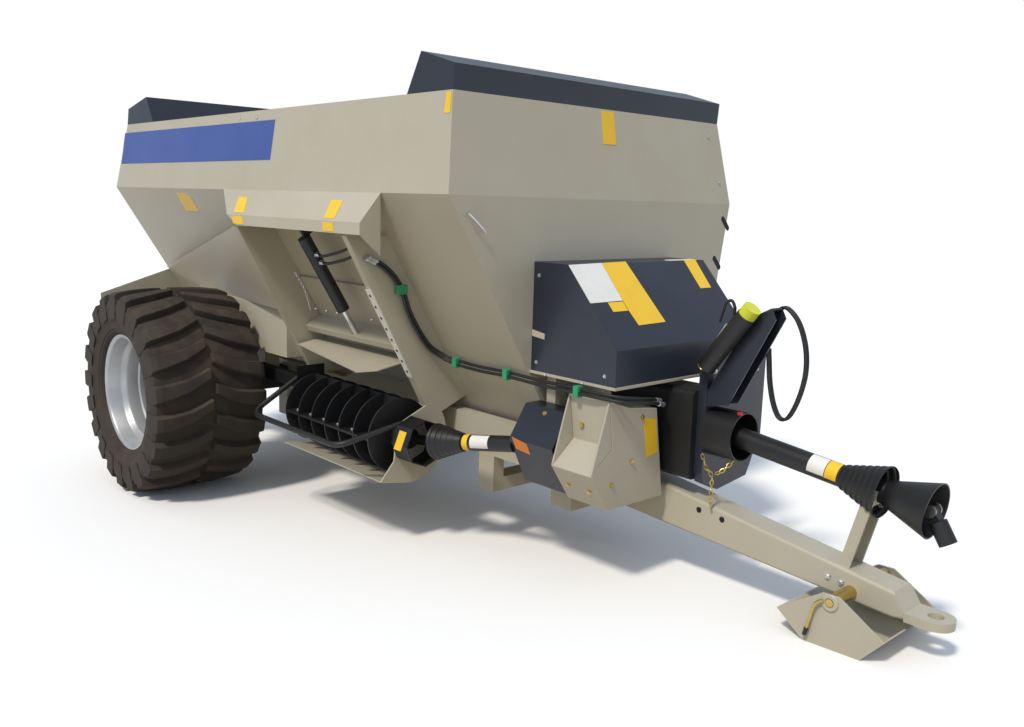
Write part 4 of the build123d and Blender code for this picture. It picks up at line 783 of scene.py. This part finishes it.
# ------------------------------------------------------------------ seats for small parts
class Skin:
    """Outer faces of the construction, in level coordinates, that small parts are seated on."""

    LIFT = 0.0004

    def __init__(self, names: list[str]) -> None:
        """Gathers the faces of the named nodes."""
        back = MACHINE.matrix.inverted()
        points, faces = [], []
        for name in names:
            node = frame["nodes"][name]
            base = len(points)
            points += [back @ (node.matrix_world @ vertex.co) for vertex in node.data.vertices]
            faces += [[base + corner for corner in polygon.vertices] for polygon in node.data.polygons]
        self.tree = BVHTree.FromPolygons(points, faces)

    def seat(self, spot: tuple, way: Vector, reach: float = 0.07) -> tuple[Vector, Vector]:
        """Where a line through a spot meets the construction.

        Args:
            spot: A point close to the face.
            way: Direction in which the face is approached.
            reach: How far before and after the spot the face may lie.

        Returns:
            The point on the face, and the normal that looks back along the way.
        """
        way = way.normalized()
        found, normal, _, _ = self.tree.ray_cast(Vector(spot) - way * reach, way, 2 * reach)
        if found is None:
            log.warning("no face near %s", tuple(round(value, 3) for value in spot))
            return Vector(spot), -way
        return found, (normal if normal.dot(way) < 0 else -normal)

    def film(self, name: str, body: str, corners: list, way: Vector, finish: Finish,
             thick: float = 0.0012) -> None:
        """A thin plate that lies on a face.

        Args:
            name: Name of the piece.
            body: CAD body that it moves with.
            corners: Its corners in order, close to the face.
            way: Direction in which the face is approached.
            finish: Its finish.
            thick: Its thickness.
        """
        middle = sum((Vector(corner) for corner in corners), Vector()) / len(corners)
        spot, normal = self.seat(middle, way)
        seats = [Vector(corner) - way * ((Vector(corner) - spot).dot(normal) / way.dot(normal))
                 for corner in corners]
        lifted = [seat + normal * self.LIFT for seat in seats]
        Solid().prism(lifted, normal * thick).finish(name, body, finish, smooth=False)

    def bolts(self, name: str, body: str, spots: list, way: Vector, size: float = 0.010,
              finish: Finish | None = None) -> None:
        """Hexagon bolts with washers on a face.

        Args:
            name: Name of the piece.
            body: CAD body that they move with.
            spots: Their places, close to the face.
            way: Direction in which the face is approached.
            size: Thread diameter.
            finish: Their plating, white zinc unless given.
        """
        solid = Solid()
        for spot in spots:
            seat, normal = self.seat(spot, way)
            solid.bolt(seat, normal, size)
        solid.finish(name, body, finish or Finishes.white_zinc)


def flowing(points: list[tuple], steps: int = 8) -> list[Vector]:
    """Points of a smooth curve through the given ones."""
    held = [Vector(point) for point in points]
    held = [2 * held[0] - held[1], *held, 2 * held[-1] - held[-2]]
    curve = []
    for a, b, c, d in zip(held, held[1:], held[2:], held[3:]):
        for step in range(steps):
            t = step / steps
            curve.append(0.5 * (2 * b + (c - a) * t + (2 * a - 5 * b + 4 * c - d) * t ** 2
                                + (3 * b - a - 3 * c + d) * t ** 3))
    curve.append(held[-2])
    return curve


def wrapped(start: Vector, axis: Vector, along: tuple[float, float], radius: float, middle: Vector,
            half_turn: float, thick: float = 0.0008) -> Solid:
    """A film that is bent round a tube.

    Args:
        start: Point of the tube's axis from which places along it are counted.
        axis: The tube's direction.
        along: Where the film begins and ends.
        radius: The tube's radius.
        middle: Side of the tube that the film's middle looks to.
        half_turn: Half the angle that it covers.
        thick: The film's thickness.
    """
    axis = axis.normalized()
    across = (middle - axis * middle.dot(axis)).normalized()
    third = axis.cross(across)
    solid = Solid()
    rings = []
    for angle in spaced(-half_turn, half_turn, 19):
        out = across * math.cos(angle) + third * math.sin(angle)
        rings.append([solid.mesh.verts.new(start + axis * place + out * (radius + lift))
                      for place, lift in ((along[0], 0), (along[0], thick), (along[1], thick),
                                          (along[1], 0))])
    solid.bar(rings)
    return solid


LEFTWARD = Vector((0, 1, 0))
REARWARD = Vector((-1, 0, 0))
INTO_WALL = -WALL.outward()


# ------------------------------------------------------------------ hopper
class HopperTrim:
    """Panel, plates, bolts and small fittings on the hopper's walls."""

    def build(self) -> None:
        """Seats each on its wall."""
        skin = Skin(["hopper_right_panel", "hopper_left_panel", "hopper_front_panel", "corner_gusset"])
        skin.film("side_panel", "chassis", [(-3.257, -0.84, 1.665), (-1.37, -0.84, 1.665),
                                            (-1.37, -0.82, 1.85),
                                            (-3.257, -0.82, 1.85)], LEFTWARD, Finishes.blue_film)
        skin.film("corner_plate", "chassis", [(-0.094, -0.825, 1.817), (-0.059, -0.825, 1.817),
                                              (-0.066, -0.815, 1.893), (-0.094, -0.815, 1.893)],
                  LEFTWARD, Finishes.yellow_film)
        skin.film("front_plate", "chassis", [(-0.04, -0.016, 1.756), (-0.04, 0.065, 1.756),
                                             (-0.06, 0.065, 1.893), (-0.06, -0.016, 1.893)],
                  REARWARD, Finishes.yellow_film)
        skin.film("rear_side_plate", "chassis", [(-2.45, -0.80, 1.405), (-2.275, -0.80, 1.405),
                                                 (-2.275, -0.85, 1.478), (-2.33, -0.86, 1.5),
                                                 (-2.43, -0.86, 1.5)], INTO_WALL, Finishes.yellow_film)
        skin.bolts("front_wall_bolts", "chassis", [(-0.051, 0.728, 1.84), (-0.017, 0.793, 1.628)], REARWARD,
                   0.008)
        skin.bolts("side_wall_bolts", "chassis", [(-1.732, -0.82, 1.869), (-1.554, -0.821, 1.866)], LEFTWARD,
                   0.007)
        hook = [(0.012, -0.792, 1.459), (0.016, -0.770, 1.442), (0.016, -0.725, 1.405),
                (0.012, -0.702, 1.386)]
        Solid().tube(flowing(hook), 0.004).finish("front_hook", "chassis", Finishes.white_zinc)
        # Slot-shaped dark films: painted shade standing in for the unlit inside of the gusset's slots.
        slots = Solid()
        for y, z in ((0.85, 1.43), (0.80, 1.24)):
            seat, normal = skin.seat((0.0, y, z), REARWARD)
            outline = [(math.cos(a) * 0.009, math.sin(a) * 0.009 + (0.022 if math.sin(a) > 0 else -0.022))
                       for a in spaced(0.05, 2 * math.pi - 0.2, 20)]
            slots.plate(seat + normal * 0.0002, normal.orthogonal(), normal.cross(normal.orthogonal()),
                        outline,
                        0.0006)
        slots.finish("gusset_slot_shade", "chassis", Finishes.painted_hole_shade_and_marks, smooth=False)


class HoodTrim:
    """Plates that lie over the hood and its lip."""

    OVER_HOOD = Vector((0, 0.769, -0.639))

    def build(self) -> None:
        """Seats each plate on the slope and on the lip under it."""
        skin = Skin(["door_hood"])
        for name, top, low in (("rear", (-1.588, -1.497), (-1.523, -1.418)), ("front", (-0.746, -0.656),
                                                                               (-0.708, -0.626))):
            skin.film(f"hood_plate_{name}", "chassis", [(top[0], -0.905, 1.489), (top[1], -0.905, 1.489),
                                                        (low[1], -0.966, 1.416), (low[0], -0.966, 1.416)],
                      self.OVER_HOOD, Finishes.yellow_film)
            skin.film(f"hood_lip_plate_{name}", "chassis", [(low[0], -0.974, 1.4), (low[1], -0.974, 1.4),
                                                            (low[1] + 0.01, -0.974, 1.364),
                                                            (low[0] + 0.01, -0.974, 1.364)],
                      LEFTWARD, Finishes.yellow_film)


# ------------------------------------------------------------------ drives
@dataclass
class SideDriveTrim:
    """Ribbed cone, band and bare labels on the side shaft's guard."""

    start: tuple[float, float, float] = (-0.402, -0.597, 0.473)
    end: tuple[float, float, float] = (-0.010, -0.500, 0.530)
    cone_r: float = 0.076
    cone_length: float = 0.150
    tube_r: float = 0.034
    ribs: int = 6

    def build(self) -> None:
        """Dresses the guard."""
        start = Vector(self.start)
        axis = (Vector(self.end) - start).normalized()
        profile = [(0.0, self.cone_r - 0.004)]
        for rib in range(self.ribs):
            for share, lift in ((0.10, 0.001), (0.25, 0.005), (0.60, 0.005), (0.75, 0.001)):
                along = (rib + share) / self.ribs
                profile.append((along * self.cone_length,
                                self.cone_r + (self.tube_r - self.cone_r) * along + lift))
        profile.append((self.cone_length, self.tube_r))
        Solid().lathe(profile, start, axis, 40).finish("side_cone_ribs", "chassis", Finishes.guard_plastic)
        towards = Vector((0.35, -0.85, 0.4))
        wrapped(start, axis, (0.158, 0.186), self.tube_r, towards, math.pi * 0.98).finish(
            "side_shaft_band", "chassis", Finishes.yellow_film)
        wrapped(start, axis, (0.200, 0.292), self.tube_r, towards, 0.9).finish(
            "side_shaft_label", "chassis", Finishes.white_film)


@dataclass
class ShaftTrim:
    """Ribbed bells and bare labels on the drive shaft's guard."""

    start: tuple[float, float, float] = (0.690, 0.0, 0.640)
    end: tuple[float, float, float] = (1.318, 0.0, 0.566)
    tube_r: float = 0.041
    cone_r: float = 0.098
    cone_length: float = 0.165

    def build(self) -> None:
        """Dresses the guard."""
        start, end = Vector(self.start), Vector(self.end)
        axis = (end - start).normalized()
        length = (end - start).length
        profile = [(length - self.cone_length, self.tube_r)]
        for rib in range(7):
            for share, lift in ((0.10, 0.000), (0.22, 0.0035), (0.55, 0.0035), (0.70, 0.000)):
                along = (rib + share) / 7
                profile.append((length - self.cone_length * (1 - along),
                                self.tube_r + (self.cone_r - 0.004 - self.tube_r) * along + lift))
        Solid().lathe(profile, start, axis, 48).finish("shaft_cone_ribs", "pto_guard", Finishes.guard_plastic)
        towards = Vector((0.2, -0.8, 0.55))
        wrapped(start, axis, (0.345, 0.412), self.tube_r, towards, 0.95).finish(
            "shaft_label", "pto_guard", Finishes.white_film)
        wrapped(start, axis, (0.415, 0.460), self.tube_r, towards, 1.0).finish(
            "shaft_warning_band", "pto_guard", Finishes.yellow_film)


class CoverTrim:
    """Bare plates on the front drive cover's slope."""

    DOWN_SLOPE = Vector((-0.747, 0, -0.665))

    def build(self) -> None:
        """Seats them on the slope."""
        skin = Skin(["drive_cover"])
        skin.film("cover_white_plate", "chassis", [(0.187, -0.432, 1.271), (0.184, -0.242, 1.274),
                                                   (0.307, -0.245, 1.136), (0.308, -0.43, 1.135)],
                  self.DOWN_SLOPE, Finishes.white_film)
        skin.film("cover_yellow_plate", "chassis", [(0.184, -0.24, 1.274), (0.182, -0.093, 1.277),
                                                    (0.384, -0.067, 1.05), (0.386, -0.234, 1.047),
                                                    (0.339, -0.242, 1.10), (0.307, -0.243, 1.136)],
                  self.DOWN_SLOPE, Finishes.yellow_film)
        skin.film("cover_yellow_tongue", "chassis", [(0.31, -0.247, 1.133), (0.339, -0.246, 1.10),
                                                     (0.339, -0.332, 1.10), (0.31, -0.334, 1.133)],
                  self.DOWN_SLOPE, Finishes.yellow_film)
        skin.film("cover_left_plate", "chassis", [(0.183, 0.293, 1.275), (0.182, 0.375, 1.276),
                                                  (0.285, 0.365, 1.161), (0.285, 0.289, 1.161)],
                  self.DOWN_SLOPE, Finishes.yellow_film)
        skin.film("cover_latch_strip", "chassis", [(0.411, 0.325, 1.019), (0.451, 0.20, 0.974),
                                                   (0.451, 0.188, 0.974), (0.411, 0.305, 1.019)],
                  self.DOWN_SLOPE, Finishes.white_zinc, 0.004)


# ------------------------------------------------------------------ hoses
class HoseTrim:
    """Hydraulic hoses along the ribs and walls, their clips, and the loops behind the hose post."""

    RUN_R = 0.0068
    LOOP_R = 0.006
    RUNS = {
        "hose_run_upper": ((-0.520, -0.861, 1.262), (-0.520, -0.800, 1.234), (-0.520, -0.735, 1.180),
                           (-0.520, -0.690, 1.110), (-0.520, -0.658, 1.030), (-0.520, -0.610, 0.950),
                           (-0.520, -0.550, 0.875), (-0.500, -0.492, 0.832), (-0.430, -0.466, 0.812),
                           (-0.270, -0.462, 0.806), (-0.100, -0.466, 0.811), (0.070, -0.462, 0.806),
                           (0.240, -0.465, 0.808), (0.400, -0.458, 0.806), (0.475, -0.420, 0.800),
                           (0.500, -0.340, 0.790), (0.485, -0.250, 0.775), (0.462, -0.180, 0.757)),
        "hose_run_lower": ((-0.520, -0.872, 1.254), (-0.520, -0.811, 1.226), (-0.520, -0.746, 1.172),
                           (-0.520, -0.701, 1.102), (-0.520, -0.669, 1.022), (-0.520, -0.621, 0.942),
                           (-0.520, -0.561, 0.865), (-0.498, -0.500, 0.818), (-0.430, -0.476, 0.797),
                           (-0.270, -0.472, 0.791), (-0.100, -0.476, 0.796), (0.070, -0.472, 0.791),
                           (0.240, -0.475, 0.793), (0.410, -0.470, 0.793), (0.495, -0.430, 0.787),
                           (0.518, -0.340, 0.777), (0.500, -0.250, 0.762), (0.478, -0.180, 0.745)),
    }
    LOOP = ((0.800, 1.085), (0.845, 1.150), (0.905, 1.110), (0.945, 1.020), (0.955, 0.920), (0.935, 0.820),
            (0.900, 0.745), (0.865, 0.735), (0.835, 0.780), (0.812, 0.860), (0.800, 0.950), (0.795, 0.990))
    CLIPS = ((-0.520, -0.706, 1.125), (-0.430, -0.471, 0.804), (-0.100, -0.471, 0.803),
             (0.300, -0.468, 0.800))

    def build(self) -> None:
        """Lays the hoses and clips them."""
        for name, route in self.RUNS.items():
            Solid().tube(flowing(route), self.RUN_R).finish(name, "chassis", Finishes.hose_rubber)
            ends = Solid()
            for end, after in ((route[0], route[1]), (route[-1], route[-2])):
                way = (Vector(end) - Vector(after)).normalized()
                ends.lathe([(-0.038, 0.0068), (-0.036, 0.0092), (-0.004, 0.0092), (0.0, 0.011),
                            (0.014, 0.011),
                            (0.016, 0.0)], Vector(end), way, 20)
            ends.finish(f"{name}_fittings", "chassis", Finishes.white_zinc)
        for name, y in (("hose_loop_near", 0.028), ("hose_loop_far", 0.044)):
            route = [(x, y, z) for x, z in self.LOOP]
            Solid().tube(flowing(route), self.LOOP_R).finish(name, "chassis", Finishes.hose_rubber)
        clips = Solid()
        for x, y, z in self.CLIPS:
            upright = x > -0.5
            low = (x - 0.013, y - 0.019, z - 0.022) if upright else (x - 0.013, y - 0.026, z - 0.020)
            high = (x + 0.013, y + 0.012, z + 0.022) if upright else (x + 0.011, y + 0.026, z + 0.020)
            clips.block(low, high)
        clips.finish("hose_clips", "chassis", Finishes.clip_plastic, bevel=0.003, smooth=False)


# ------------------------------------------------------------------ door and rotor
def chain(points: list[tuple], link: float = 0.022, wire: float = 0.0024) -> Solid:
    """A hanging chain of round-ended links, each turned a quarter from the last.

    Args:
        points: The curve that it hangs along.
        link: Length of one link.
        wire: Radius of its wire.
    """
    solid = Solid()
    curve = flowing(points)
    places, run = [curve[0]], 0.0
    for before, after in zip(curve, curve[1:]):
        run += (after - before).length
        if run >= link * 0.72:
            places.append(after)
            run = 0.0
    for number, (before, after) in enumerate(zip(places, places[1:])):
        way = (after - before).normalized()
        across = way.orthogonal().normalized()
        if number % 2:
            across = way.cross(across)
        middle = (before + after) / 2
        loop = [middle + way * math.cos(a) * link / 2 + across * math.sin(a) * link * 0.3
                for a in (2 * math.pi * step / 12 for step in range(12))]
        solid.tube(loop, wire, 6, closed=True)
    return solid


class DoorTrim:
    """Ram ports and pipes, ledge bolts, scale marks, latch and chain on the discharge door."""

    RAM_X = -1.040
    RAM_OUT = 0.100
    RAM_R = 0.030
    MARKS = 8

    def build(self) -> None:
        """Makes each of them."""
        ports, pipes = Solid(), Solid()
        for z, out, end_z in ((1.297, 0.100, 1.345), (1.261, 0.095, 1.315)):
            foot = WALL.beside(self.RAM_X + self.RAM_R - 0.002, z, self.RAM_OUT)
            ports.lathe([(0, 0.0), (0, 0.013), (0.012, 0.013), (0.012, 0.010), (0.030, 0.010), (0.030, 0.0)],
                        foot,
                        Vector((1, 0, 0)), 6)
            route = [foot + Vector((0.028, 0, 0)), WALL.beside(-0.930, z + 0.004, out + 0.012),
                     WALL.beside(-0.800, z + 0.020, out - 0.010), WALL.beside(-0.660, end_z, 0.060),
                     WALL.beside(-0.552, end_z + 0.004, 0.050)]
            pipes.tube(flowing(route), 0.0066)
        ports.finish("ram_ports", "chassis", Finishes.white_zinc, smooth=False)
        pipes.finish("ram_pipes", "chassis", Finishes.hose_rubber)
        door = Skin(["door_plate"])
        door.bolts("ledge_bolts", "door", [WALL.beside(x, 0.975, 0.060) for x in spaced(-1.41, -0.71, 8)
                                           if abs(x - self.RAM_X) > 0.06], Vector((0, 0, -1)), 0.008)
        wall = Skin(["hopper_right_panel", "door_plate"])
        wall.film("door_edge_strip", "chassis", [WALL.beside(-0.822, 1.34, 0.01),
                                                 WALL.beside(-0.808, 1.34, 0.01),
                                                 WALL.beside(-0.812, 1.13, 0.01),
                                                 WALL.beside(-0.826, 1.13, 0.01)],
                  INTO_WALL, Finishes.white_film, 0.003)
        latch = Solid()
        latch.plate(WALL.beside(-1.000, 0.835, 0.018), Vector((1, 0, 0)), WALL.upward(),
                    [(-0.030, -0.050), (0.020, -0.050), (0.030, -0.035), (0.030, 0.050), (-0.030, 0.050)],
                    0.006)
        latch.plate(WALL.beside(-1.000, 0.835, 0.016), Vector((0, 0, 1)).cross(Vector((0, 1, 0))),
                    WALL.upward(),
                    [(-0.003, -0.045), (0.003, -0.045), (0.003, 0.045), (-0.003, 0.045)], 0.030)
        latch.finish("door_latch", "door", Finishes.body_enamel, bevel=0.001, smooth=False)
        door.bolts("latch_bolts", "door", [WALL.beside(-1.04, 0.80, 0.03), WALL.beside(-0.96, 0.80, 0.03)],
                   INTO_WALL, 0.009)
        corners = [WALL.beside(x, z, 0.121) for x, z in ((-0.720, 0.899), (-0.650, 0.899), (-0.685, 0.921))]
        door.film("door_reflector", "door", corners, INTO_WALL, Finishes.red_film, 0.003)
        chain([tuple(WALL.beside(-1.32, 1.19, 0.10)), tuple(WALL.beside(-1.352, 1.10, 0.085)),
               tuple(WALL.beside(-1.405, 0.985, 0.09))], 0.016, 0.0018).finish("door_chain", "door",
                                                                               Finishes.white_zinc)
        self.scale()

    def scale(self) -> None:
        """Dark marks down the scale plate on the front rib."""
        low, high = (Vector(corner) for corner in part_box("indicator_plate"))
        back = MACHINE.matrix.inverted()
        top = back @ Vector(((low.x + high.x) / 2, low.y, high.z))
        foot = back @ Vector(((low.x + high.x) / 2, high.y, low.z))
        skin = Skin(["indicator_plate"])
        half = Vector((0.017, 0, 0))
        skin.film("scale_face", "chassis", [top - half, top + half, foot + half, foot - half], INTO_WALL,
                  Finishes.white_film, 0.0004)
        marks = Solid()
        for share in spaced(0.07, 0.93, self.MARKS):
            seat, normal = skin.seat(tuple(top.lerp(foot, share)), INTO_WALL)
            marks.lathe([(0, 0), (0, 0.0065), (0.0018, 0.0065), (0.0018, 0)], seat, normal, 16)
        marks.finish("scale_marks", "chassis", Finishes.painted_hole_shade_and_marks)


class RotorTrim:
    """Paddle bolts on the spreading rotor."""

    AXIS_Y = -0.635
    AXIS_Z = 0.462
    FIRST_X = -1.286
    LAST_X = -0.682
    BAYS = 6
    BOLT_R = 0.132
    REACH = 0.12
    PADDLE_ANGLES = (0, 90, 180, 270)
    DISC_TILT = 0.3

    def build(self) -> None:
        """Seats bolt pairs on the paddles."""
        skin = Skin(["rotor"])
        solid = Solid()
        for x in spaced(self.FIRST_X, self.LAST_X, self.BAYS):
            for angle in self.PADDLE_ANGLES:
                out = Vector((0, math.cos(math.radians(angle)), math.sin(math.radians(angle))))
                side = Vector((0, -out.z, out.y))
                spot = Vector((x, self.AXIS_Y, self.AXIS_Z)) + out * self.BOLT_R
                for way in (side, -side):
                    found, normal, _, _ = skin.tree.ray_cast(spot - way * self.REACH, way, 2 * self.REACH)
                    if found is not None and abs(normal.x) < self.DISC_TILT:
                        solid.bolt(found, -way, 0.010)
        solid.finish("rotor_bolts", "rotor", Finishes.white_zinc)


@dataclass
class AugerFlight:
    """The floor auger: a tube with a wound flight."""

    axis_z: float = 0.570
    radius: float = 0.228
    tube_r: float = 0.070
    rear_x: float = -3.262
    front_x: float = -0.012
    pitch: float = 0.340
    plate: float = 0.008
    steps: int = 40
    end_gap: float = 0.03
    ends_clear: float = 0.08
    root_sink: float = 0.004

    def build(self) -> None:
        """Winds the flight round the tube."""
        solid = Solid()
        solid.lathe([(0, 0), (0, self.tube_r), (self.front_x - self.rear_x, self.tube_r),
                     (self.front_x - self.rear_x, 0)], Vector((self.rear_x, 0, self.axis_z)),
                     Vector((1, 0, 0)), 40)
        turns = (self.front_x - self.rear_x - self.ends_clear) / self.pitch
        count = int(turns * self.steps)
        rings = []
        for step in range(count + 1):
            angle = 2 * math.pi * step / self.steps
            x = self.rear_x + self.end_gap + self.pitch * step / self.steps
            ring = []
            for radius, lift in ((self.tube_r - self.root_sink, 0), (self.radius, 0),
                                 (self.radius, self.plate),
                                 (self.tube_r - self.root_sink, self.plate)):
                ring.append(solid.mesh.verts.new(Vector((x + lift, radius * math.cos(angle),
                                                         self.axis_z + radius * math.sin(angle)))))
            rings.append(ring)
        solid.bar(rings)
        made = solid.finish("auger_flight", "auger", Finishes.worn_steel)
        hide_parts("auger")


# ------------------------------------------------------------------ front drive
class CaseTrim:
    """The folded chain case, its bolts and plate, and the small parts round the gearbox."""

    REAR_X = 0.240
    FRONT_X = 0.450
    SHEET = 0.008
    OUTLINE = ((-0.173, 0.724), (-0.339, 0.745), (-0.455, 0.786), (-0.541, 0.508), (-0.439, 0.358),
               (-0.110, 0.355))
    VALLEY = (-0.428, 0.600)

    def build(self) -> None:
        """Makes the case and what is on and round it."""
        shell = Solid()
        band = [*self.OUTLINE[:3], self.VALLEY, *self.OUTLINE[3:]]
        shell.prism([Vector((self.REAR_X, y, z)) for y, z in band],
                    Vector((self.FRONT_X - self.REAR_X, 0, 0)))
        lip = (self.OUTLINE[2], (self.VALLEY[0] - 0.001, self.VALLEY[1]), self.OUTLINE[3])
        for x in (self.REAR_X, self.FRONT_X - self.SHEET):
            shell.prism([Vector((x, y, z)) for y, z in lip], Vector((self.SHEET, 0, 0)))
        made = shell.finish("case_shell", "chassis", Finishes.body_enamel, bevel=0.003, smooth=False,
                            slot="body_paint")
        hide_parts("gear_case")
        front = Vector((1, 0, 0))
        bolts = Solid()
        for y, z in ((-0.262, 0.701), (-0.314, 0.532), (-0.425, 0.458)):
            bolts.bolt(Vector((self.FRONT_X, y, z)), front, 0.009)
        bolts.bolt(Vector((0.300, -0.437, 0.664)), Vector((0, -0.991, 0.133)), 0.011)
        for x in (0.290, 0.400):
            bolts.bolt(Vector((x, -0.490, 0.433)), Vector((0, -0.827, -0.562)), 0.009)
        bolts.finish("case_bolts", "chassis", Finishes.gold_zinc)
        plate = Solid()
        plate.prism([Vector((self.FRONT_X + 0.0004, y, z)) for y, z in ((-0.252, 0.695), (-0.176, 0.68),
                                                                        (-0.156, 0.545), (-0.226, 0.531))],
                    Vector((0.0012, 0, 0)))
        plate.finish("case_plate", "chassis", Finishes.yellow_film, smooth=False)
        box = Skin(["shaft_box"])
        box.bolts("box_bolt", "chassis", [(0.125, -0.47, 0.68)], LEFTWARD, 0.009, Finishes.gold_zinc)
        box.film("box_plate", "chassis", [(0.020, -0.47, 0.575), (0.100, -0.47, 0.560), (0.100, -0.47, 0.512),
                                          (0.020, -0.47, 0.522)], LEFTWARD, Finishes.orange_film)
        cover = Skin(["drive_cover", "cover_shelf"])
        cover.film("cover_top_plate", "chassis", [(0.145, 0.21, 1.28), (0.182, 0.21, 1.28),
                                                  (0.182, 0.39, 1.28),
                                                  (0.145, 0.39, 1.28)], Vector((0, 0, -1)),
                                                  Finishes.white_film,
                   0.003)
        cover.film("cover_side_tab", "chassis", [(0.004, -0.44, 1.0), (0.075, -0.44, 0.99),
                                                 (0.075, -0.44, 0.968),
                                                 (0.004, -0.44, 0.975)], LEFTWARD, Finishes.body_enamel,
                                                 0.005)
        cover.bolts("shelf_bolts", "chassis", [(0.093, -0.441, 0.829), (0.296, -0.441, 0.829)], LEFTWARD,
                    0.006)
        cover.bolts("cover_bolts", "chassis", [(0.03, -0.433, 1.22), (0.03, -0.433, 0.87),
                                               (0.40, -0.433, 0.87)],
                    LEFTWARD, 0.007)
        sleeve = Skin(["bell_guard"])
        sleeve.film("sleeve_plate", "chassis", [(-0.508, -0.739, 0.440), (-0.458, -0.739, 0.440),
                                                (-0.458, -0.739, 0.518), (-0.508, -0.739, 0.518)], LEFTWARD,
                    Finishes.yellow_film)
        guard = Skin(["gearbox_guard"])
        guard.bolts("guard_bolts", "chassis", [(0.600, 0.198, 0.519), (0.600, 0.270, 0.86),
                                               (0.600, -0.02, 0.88)],
                    REARWARD, 0.010)
        Solid().block((0.728, -0.040, 0.730), (0.744, -0.022, 0.742)).finish(
            "bell_mark", "chassis", Finishes.red_film, bevel=0.002, smooth=False)
        chains = chain([(0.722, -0.030, 0.548), (0.700, -0.075, 0.508), (0.668, -0.092, 0.492)])
        chains.finish("bell_chain", "chassis", Finishes.gold_zinc)
        chain([(0.610, -0.080, 0.560), (0.640, -0.090, 0.510), (0.668, -0.092, 0.492),
               (0.668, -0.088, 0.420), (0.664, -0.082, 0.345)]).finish("guard_chain", "chassis",
                                                                       Finishes.gold_zinc)
        ring = [Vector((0.574, -0.063 - 0.004 * math.sin(a), 0.905)) + Vector((math.cos(a), 0,
                                                                               math.sin(a))) * 0.022
                for a in spaced(0, 2 * math.pi * 23 / 24, 24)]
        Solid().tube(ring, 0.003, 8, closed=True).finish("post_ring", "chassis", Finishes.gold_zinc)
        hook = [(0.640, -0.062, 1.080), (0.655, -0.068, 1.120), (0.668, -0.070, 1.155),
                (0.690, -0.070, 1.165),
                (0.704, -0.068, 1.140), (0.700, -0.064, 1.112)]
        Solid().tube(flowing(hook), 0.006).finish("post_hook", "chassis", Finishes.guard_plastic)


class DrawbarTrim:
    """Painted shade of the holes in the drawbar's side, and the stand's boss and hanging pin."""

    PIVOT = (1.251, 0.205)
    PLATE_Y = -0.2022
    SIDE_Y = -0.065
    HOLE_R = 0.012

    def build(self) -> None:
        """Makes them."""
        bar = Skin(["drawbar"])
        # Dark discs on the drawbar's side: painted shade standing in for the unlit inside of its holes.
        holes = Solid()
        for x, z in ((0.602, 0.326), (0.711, 0.316)):
            seat, normal = bar.seat((x, self.SIDE_Y, z), LEFTWARD)
            holes.lathe([(0.0002, 0), (0.0002, self.HOLE_R), (0.0008, self.HOLE_R), (0.0008, 0)], seat,
                        normal, 24)
        holes.finish("drawbar_hole_shade", "chassis", Finishes.painted_hole_shade_and_marks)
        x, z = self.PIVOT
        right = Vector((0, -1, 0))
        boss = Solid()
        boss.lathe([(0, 0.016), (0, 0.030), (0.005, 0.030), (0.007, 0.028), (0.007, 0.016)],
                   Vector((x, self.PLATE_Y, z)), right, 32)
        boss.finish("stand_boss", "stand", Finishes.body_enamel)
        pin = [(x - 0.020, -0.214, z + 0.004), (x - 0.038, -0.220, z - 0.006), (x - 0.050, -0.220, z - 0.030),
               (x - 0.062, -0.219, z - 0.080), (x - 0.070, -0.218, z - 0.112)]
        Solid().tube(flowing(pin), 0.005, 12).finish("stand_pin_handle", "chassis", Finishes.gold_zinc)
        tip = Vector(pin[-1])
        Solid().lathe([(0, 0), (0, 0.0075), (0.026, 0.0075), (0.028, 0.006), (0.028, 0)], tip,
                      Vector((-0.07, 0, -0.3)), 16).finish("stand_pin_grip", "chassis", Finishes.hose_rubber)
        bar.bolts("cradle_bolts", "chassis", [(1.165, self.SIDE_Y, 0.235), (1.215, self.SIDE_Y, 0.228)],
                  LEFTWARD, 0.010)




def main() -> None:
    """Builds the scene, part by part."""
    parts = [Studio(), Paintwork(), Wheel(side=-1), Wheel(side=1), HopperTrim(), HoodTrim(),
             SideDriveTrim(), ShaftTrim(), CoverTrim(), HoseTrim(), DoorTrim(), RotorTrim(),
             AugerFlight(), CaseTrim(), DrawbarTrim()]
    for part in parts:
        part.build()
        log.info("built %s", type(part).__name__)


if __name__ == "__main__":
    main()
